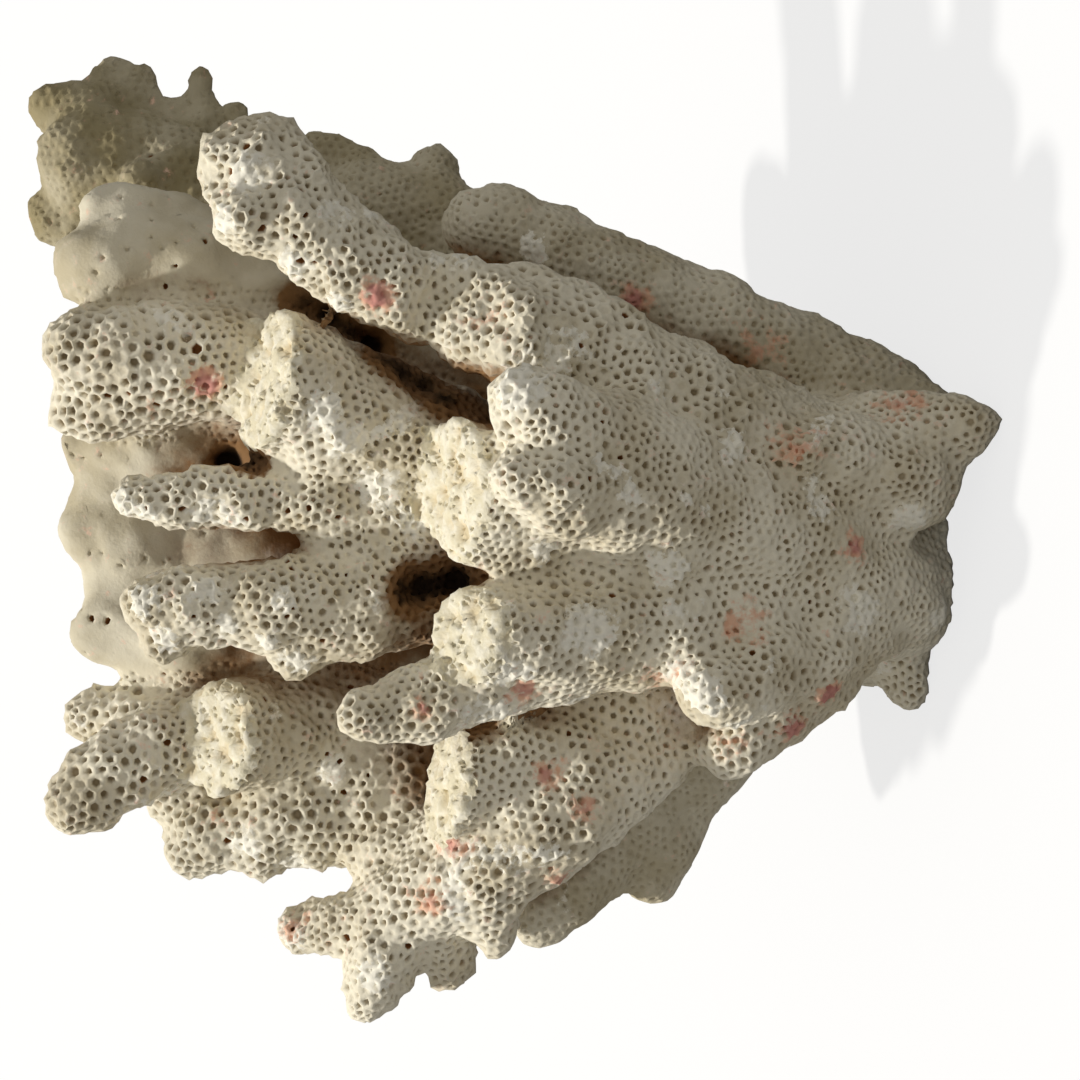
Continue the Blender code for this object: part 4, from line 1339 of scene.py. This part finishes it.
def between(tree, value, low, high):
    """0 where the value is below low, 1 where it is above high, and smooth between."""
    inputs = {"Value": value, "From Min": low, "From Max": high}
    return node_of(tree, "ShaderNodeMapRange", inputs, interpolation_type="SMOOTHSTEP").outputs["Result"]


def mixed(tree, amount, first, second):
    """The first colour turning into the second."""
    first, second = (
        paint if isinstance(paint, bpy.types.NodeSocket) else (*paint, 1) for paint in (first, second)
    )
    return node_of(tree, "ShaderNodeMix", {0: amount, 6: first, 7: second}, data_type="RGBA").outputs[2]


def painted(tree, name):
    """A number that the mesh stores, for a material."""
    return node_of(tree, "ShaderNodeAttribute", {}, attribute_name=name).outputs["Fac"]


def grain_group():
    """Clouds, specks and fine relief that both the bare and the broken skeleton have."""
    tree = bpy.data.node_groups.new("Coral grain", "ShaderNodeTree")
    for name in ("Cloud", "Patch", "Relief"):
        tree.interface.new_socket(name, in_out="OUTPUT", socket_type="NodeSocketFloat")
    leave = tree.nodes.new("NodeGroupOutput")
    place = tree.nodes.new("ShaderNodeTexCoord").outputs["Object"]
    cloud = texture_noise(tree, place, 75.0, 3.0)
    patch = texture_noise(tree, place, 520.0, 4.0, 0.65)
    speck = texture_noise(tree, place, 2100.0, 2.0)
    rough = plus(tree, times(tree, patch, 0.65), times(tree, speck, 0.35))
    for name, value in (("Cloud", cloud), ("Patch", patch), ("Relief", rough)):
        tree.links.new(value, leave.inputs[name])
    return tree


def rough_material(name, roughness, specular=0.2):
    """A new dull material, its node tree and its shader."""
    made = bpy.data.materials.new(name)
    made.use_nodes = True
    shader = made.node_tree.nodes["Principled BSDF"]
    shader.inputs["Roughness"].default_value = roughness
    shader.inputs["Specular IOR Level"].default_value = specular
    return made, made.node_tree, shader


def grain_in(tree):
    """The grain group placed in a material."""
    group = bpy.data.node_groups.get("Coral grain") or grain_group()
    return node_of(tree, "ShaderNodeGroup", {}, node_tree=group).outputs


def coat(tree, shader, paint, height, strength, distance):
    """Gives the shader its colour and its fine relief."""
    tree.links.new(paint, shader.inputs["Base Color"])
    bump = node_of(tree, "ShaderNodeBump", {"Strength": strength, "Distance": distance, "Height": height})
    tree.links.new(bump.outputs["Normal"], shader.inputs["Normal"])


def skeleton_material(colours):
    made, tree, shader = rough_material("bleached_skeleton", 0.92)
    grain = grain_in(tree)
    deep = painted(tree, "deep")
    closed = painted(tree, "closed")
    crusted = painted(tree, "crust")
    uneven = times(tree, math_of(tree, "SUBTRACT", grain["Patch"], 0.5), 1.6)
    # The olive colour darkens limbs partly as a real coat and partly as painted shade.
    film_and_shade = math_of(tree, "MINIMUM", times(tree, painted(tree, "film_and_shade"), plus(tree, grain["Cloud"], 0.15)), 0.9)
    chalk = between(tree, plus(tree, painted(tree, "chalk"), uneven), 0.28, 0.42)
    crust = between(tree, plus(tree, crusted, uneven), 0.15, 0.5)
    tint = mixed(tree, between(tree, crusted, 0.3, 0.6), colours.peach, colours.crust)
    # Brown and near-black painted shade where the skin is sheltered in the gaps, the brown partly a real
    # staining.
    rust_and_shade_amount = between(tree, plus(tree, closed, times(tree, uneven, 0.2)), 0.40, 0.74)
    gap_shade_amount = between(tree, plus(tree, closed, times(tree, uneven, 0.3)), 0.95, 1.5)
    paint = mixed(tree, between(tree, grain["Cloud"], 0.40, 0.66), colours.bone, colours.shell)
    for amount, over in (
        (times(tree, between(tree, grain["Patch"], 0.45, 0.75), 0.35), colours.chalk),
        (film_and_shade, colours.film_and_shade),
        # Darker pit floors: partly their tan tone, partly painted shade in the pits.
        (times(tree, deep, 0.82), colours.pit),
        (times(tree, chalk, 0.92), colours.chalk),
        (times(tree, crust, 0.9), tint),
        (times(tree, rust_and_shade_amount, 0.92), colours.rust_and_shade),
        (gap_shade_amount, colours.gap_shade),
        # Bored holes darken with depth, partly a real staining and partly painted shade in the hole.
        (times(tree, painted(tree, "bore"), between(tree, deep, 0.05, 0.5)), colours.bore),
    ):
        paint = mixed(tree, amount, paint, over)
    coat(tree, shader, paint, grain["Relief"], 0.55, 0.0003)
    return made


def break_material(colours):
    made, tree, shader = rough_material("broken_skeleton", 0.95)
    grain = grain_in(tree)
    hollow = times(tree, painted(tree, "hollow"), between(tree, grain["Cloud"], 0.3, 0.6))
    paint = colours.fracture
    for amount, over in (
        (times(tree, between(tree, grain["Patch"], 0.40, 0.65), 0.6), colours.chalk),
        # Darker pit floors on the break: partly their tan tone, partly painted shade in the pits.
        (times(tree, painted(tree, "deep"), 0.25), colours.pit),
        (times(tree, hollow, 0.6), colours.ochre),
    ):
        paint = mixed(tree, amount, paint, over)
    coat(tree, shader, paint, grain["Relief"], 0.7, 0.0004)
    return made


def floor_material(paint, glow):
    """A pale floor that looks white to the camera but throws little light back at the coral."""
    made, tree, shader = rough_material("pale_floor", 0.9, 0.1)
    shader.inputs["Base Color"].default_value = (*paint, 1)
    shader.inputs["Emission Color"].default_value = (1, 1, 1, 1)
    seen_by_camera = tree.nodes.new("ShaderNodeLightPath").outputs["Is Camera Ray"]
    tree.links.new(times(tree, seen_by_camera, glow), shader.inputs["Emission Strength"])
    return made


class OBJECT_OT_coral_stage(bpy.types.Operator):
    """Set up the floor, the lights and the camera"""

    bl_idname = "object.coral_stage"
    bl_label = "Set the stage"

    def execute(self, context):
        stage = context.scene.coral_stage
        bpy.ops.mesh.primitive_plane_add(size=FLOOR_SIZE)
        floor = context.object
        floor.name = "floor"
        floor.data.materials.append(floor_material(stage.floor, stage.glow))
        lamp = bpy.data.lights.new("key_light", "SUN")
        lamp.energy = stage.key_power
        lamp.angle = stage.key_spread
        lamp.color = KEY_COLOUR
        key = bpy.data.objects.new("key_light", lamp)
        key.rotation_euler = Vector(KEY_FROM).to_track_quat("Z", "Y").to_euler()
        context.scene.collection.objects.link(key)
        world = bpy.data.worlds.new("studio")
        world.use_nodes = True
        room = world.node_tree.nodes["Background"].inputs
        room["Color"].default_value = (*ROOM_COLOUR, 1)
        room["Strength"].default_value = stage.world_light
        context.scene.world = world
        context.scene.view_settings.view_transform = "Standard"
        eye = bpy.data.cameras.new("eye")
        eye.sensor_width = SENSOR
        eye.lens = SENSOR * VIEW_DISTANCE / PLANE_WIDTH
        eye.clip_start = 0.01
        eye.clip_end = 20.0
        camera = bpy.data.objects.new("camera", eye)
        context.scene.collection.objects.link(camera)
        backward = Vector((0, -math.cos(VIEW_TILT), math.sin(VIEW_TILT)))
        upward = Vector((0, math.sin(VIEW_TILT), math.cos(VIEW_TILT)))
        turned = Matrix((-upward, Vector((1, 0, 0)), backward)).transposed().to_4x4()
        turned.translation = eye_place()
        camera.matrix_world = turned
        context.scene.camera = camera
        return {"FINISHED"}


class VIEW3D_PT_coral(bpy.types.Panel):
    """Buttons that make the coral, in order"""

    bl_idname = "VIEW3D_PT_coral"
    bl_label = "Coral"
    bl_space_type = "VIEW_3D"
    bl_region_type = "UI"
    bl_category = "Coral"

    def draw(self, context):
        for operator in OPERATORS:
            self.layout.operator(operator.bl_idname)


OPERATORS = (OBJECT_OT_coral_skin, OBJECT_OT_coral_cells, OBJECT_OT_coral_branches, OBJECT_OT_coral_stage)
SETTINGS = {
    "coral_skin": CoralSkinSettings,
    "coral_pits": CoralPitSettings,
    "coral_colours": CoralColourSettings,
    "coral_stage": CoralStageSettings,
}


def register():
    for made in (*SETTINGS.values(), *OPERATORS, VIEW3D_PT_coral):
        bpy.utils.register_class(made)
    for name, settings in SETTINGS.items():
        setattr(bpy.types.Scene, name, PointerProperty(type=settings))


def unregister():
    for name in SETTINGS:
        delattr(bpy.types.Scene, name)
    for made in reversed((*SETTINGS.values(), *OPERATORS, VIEW3D_PT_coral)):
        bpy.utils.unregister_class(made)


def main():
    register()
    bpy.ops.object.coral_skin()
    bpy.ops.object.coral_cells()
    bpy.ops.object.coral_branches()
    bpy.ops.object.coral_stage()


if __name__ == "__main__":
    main()
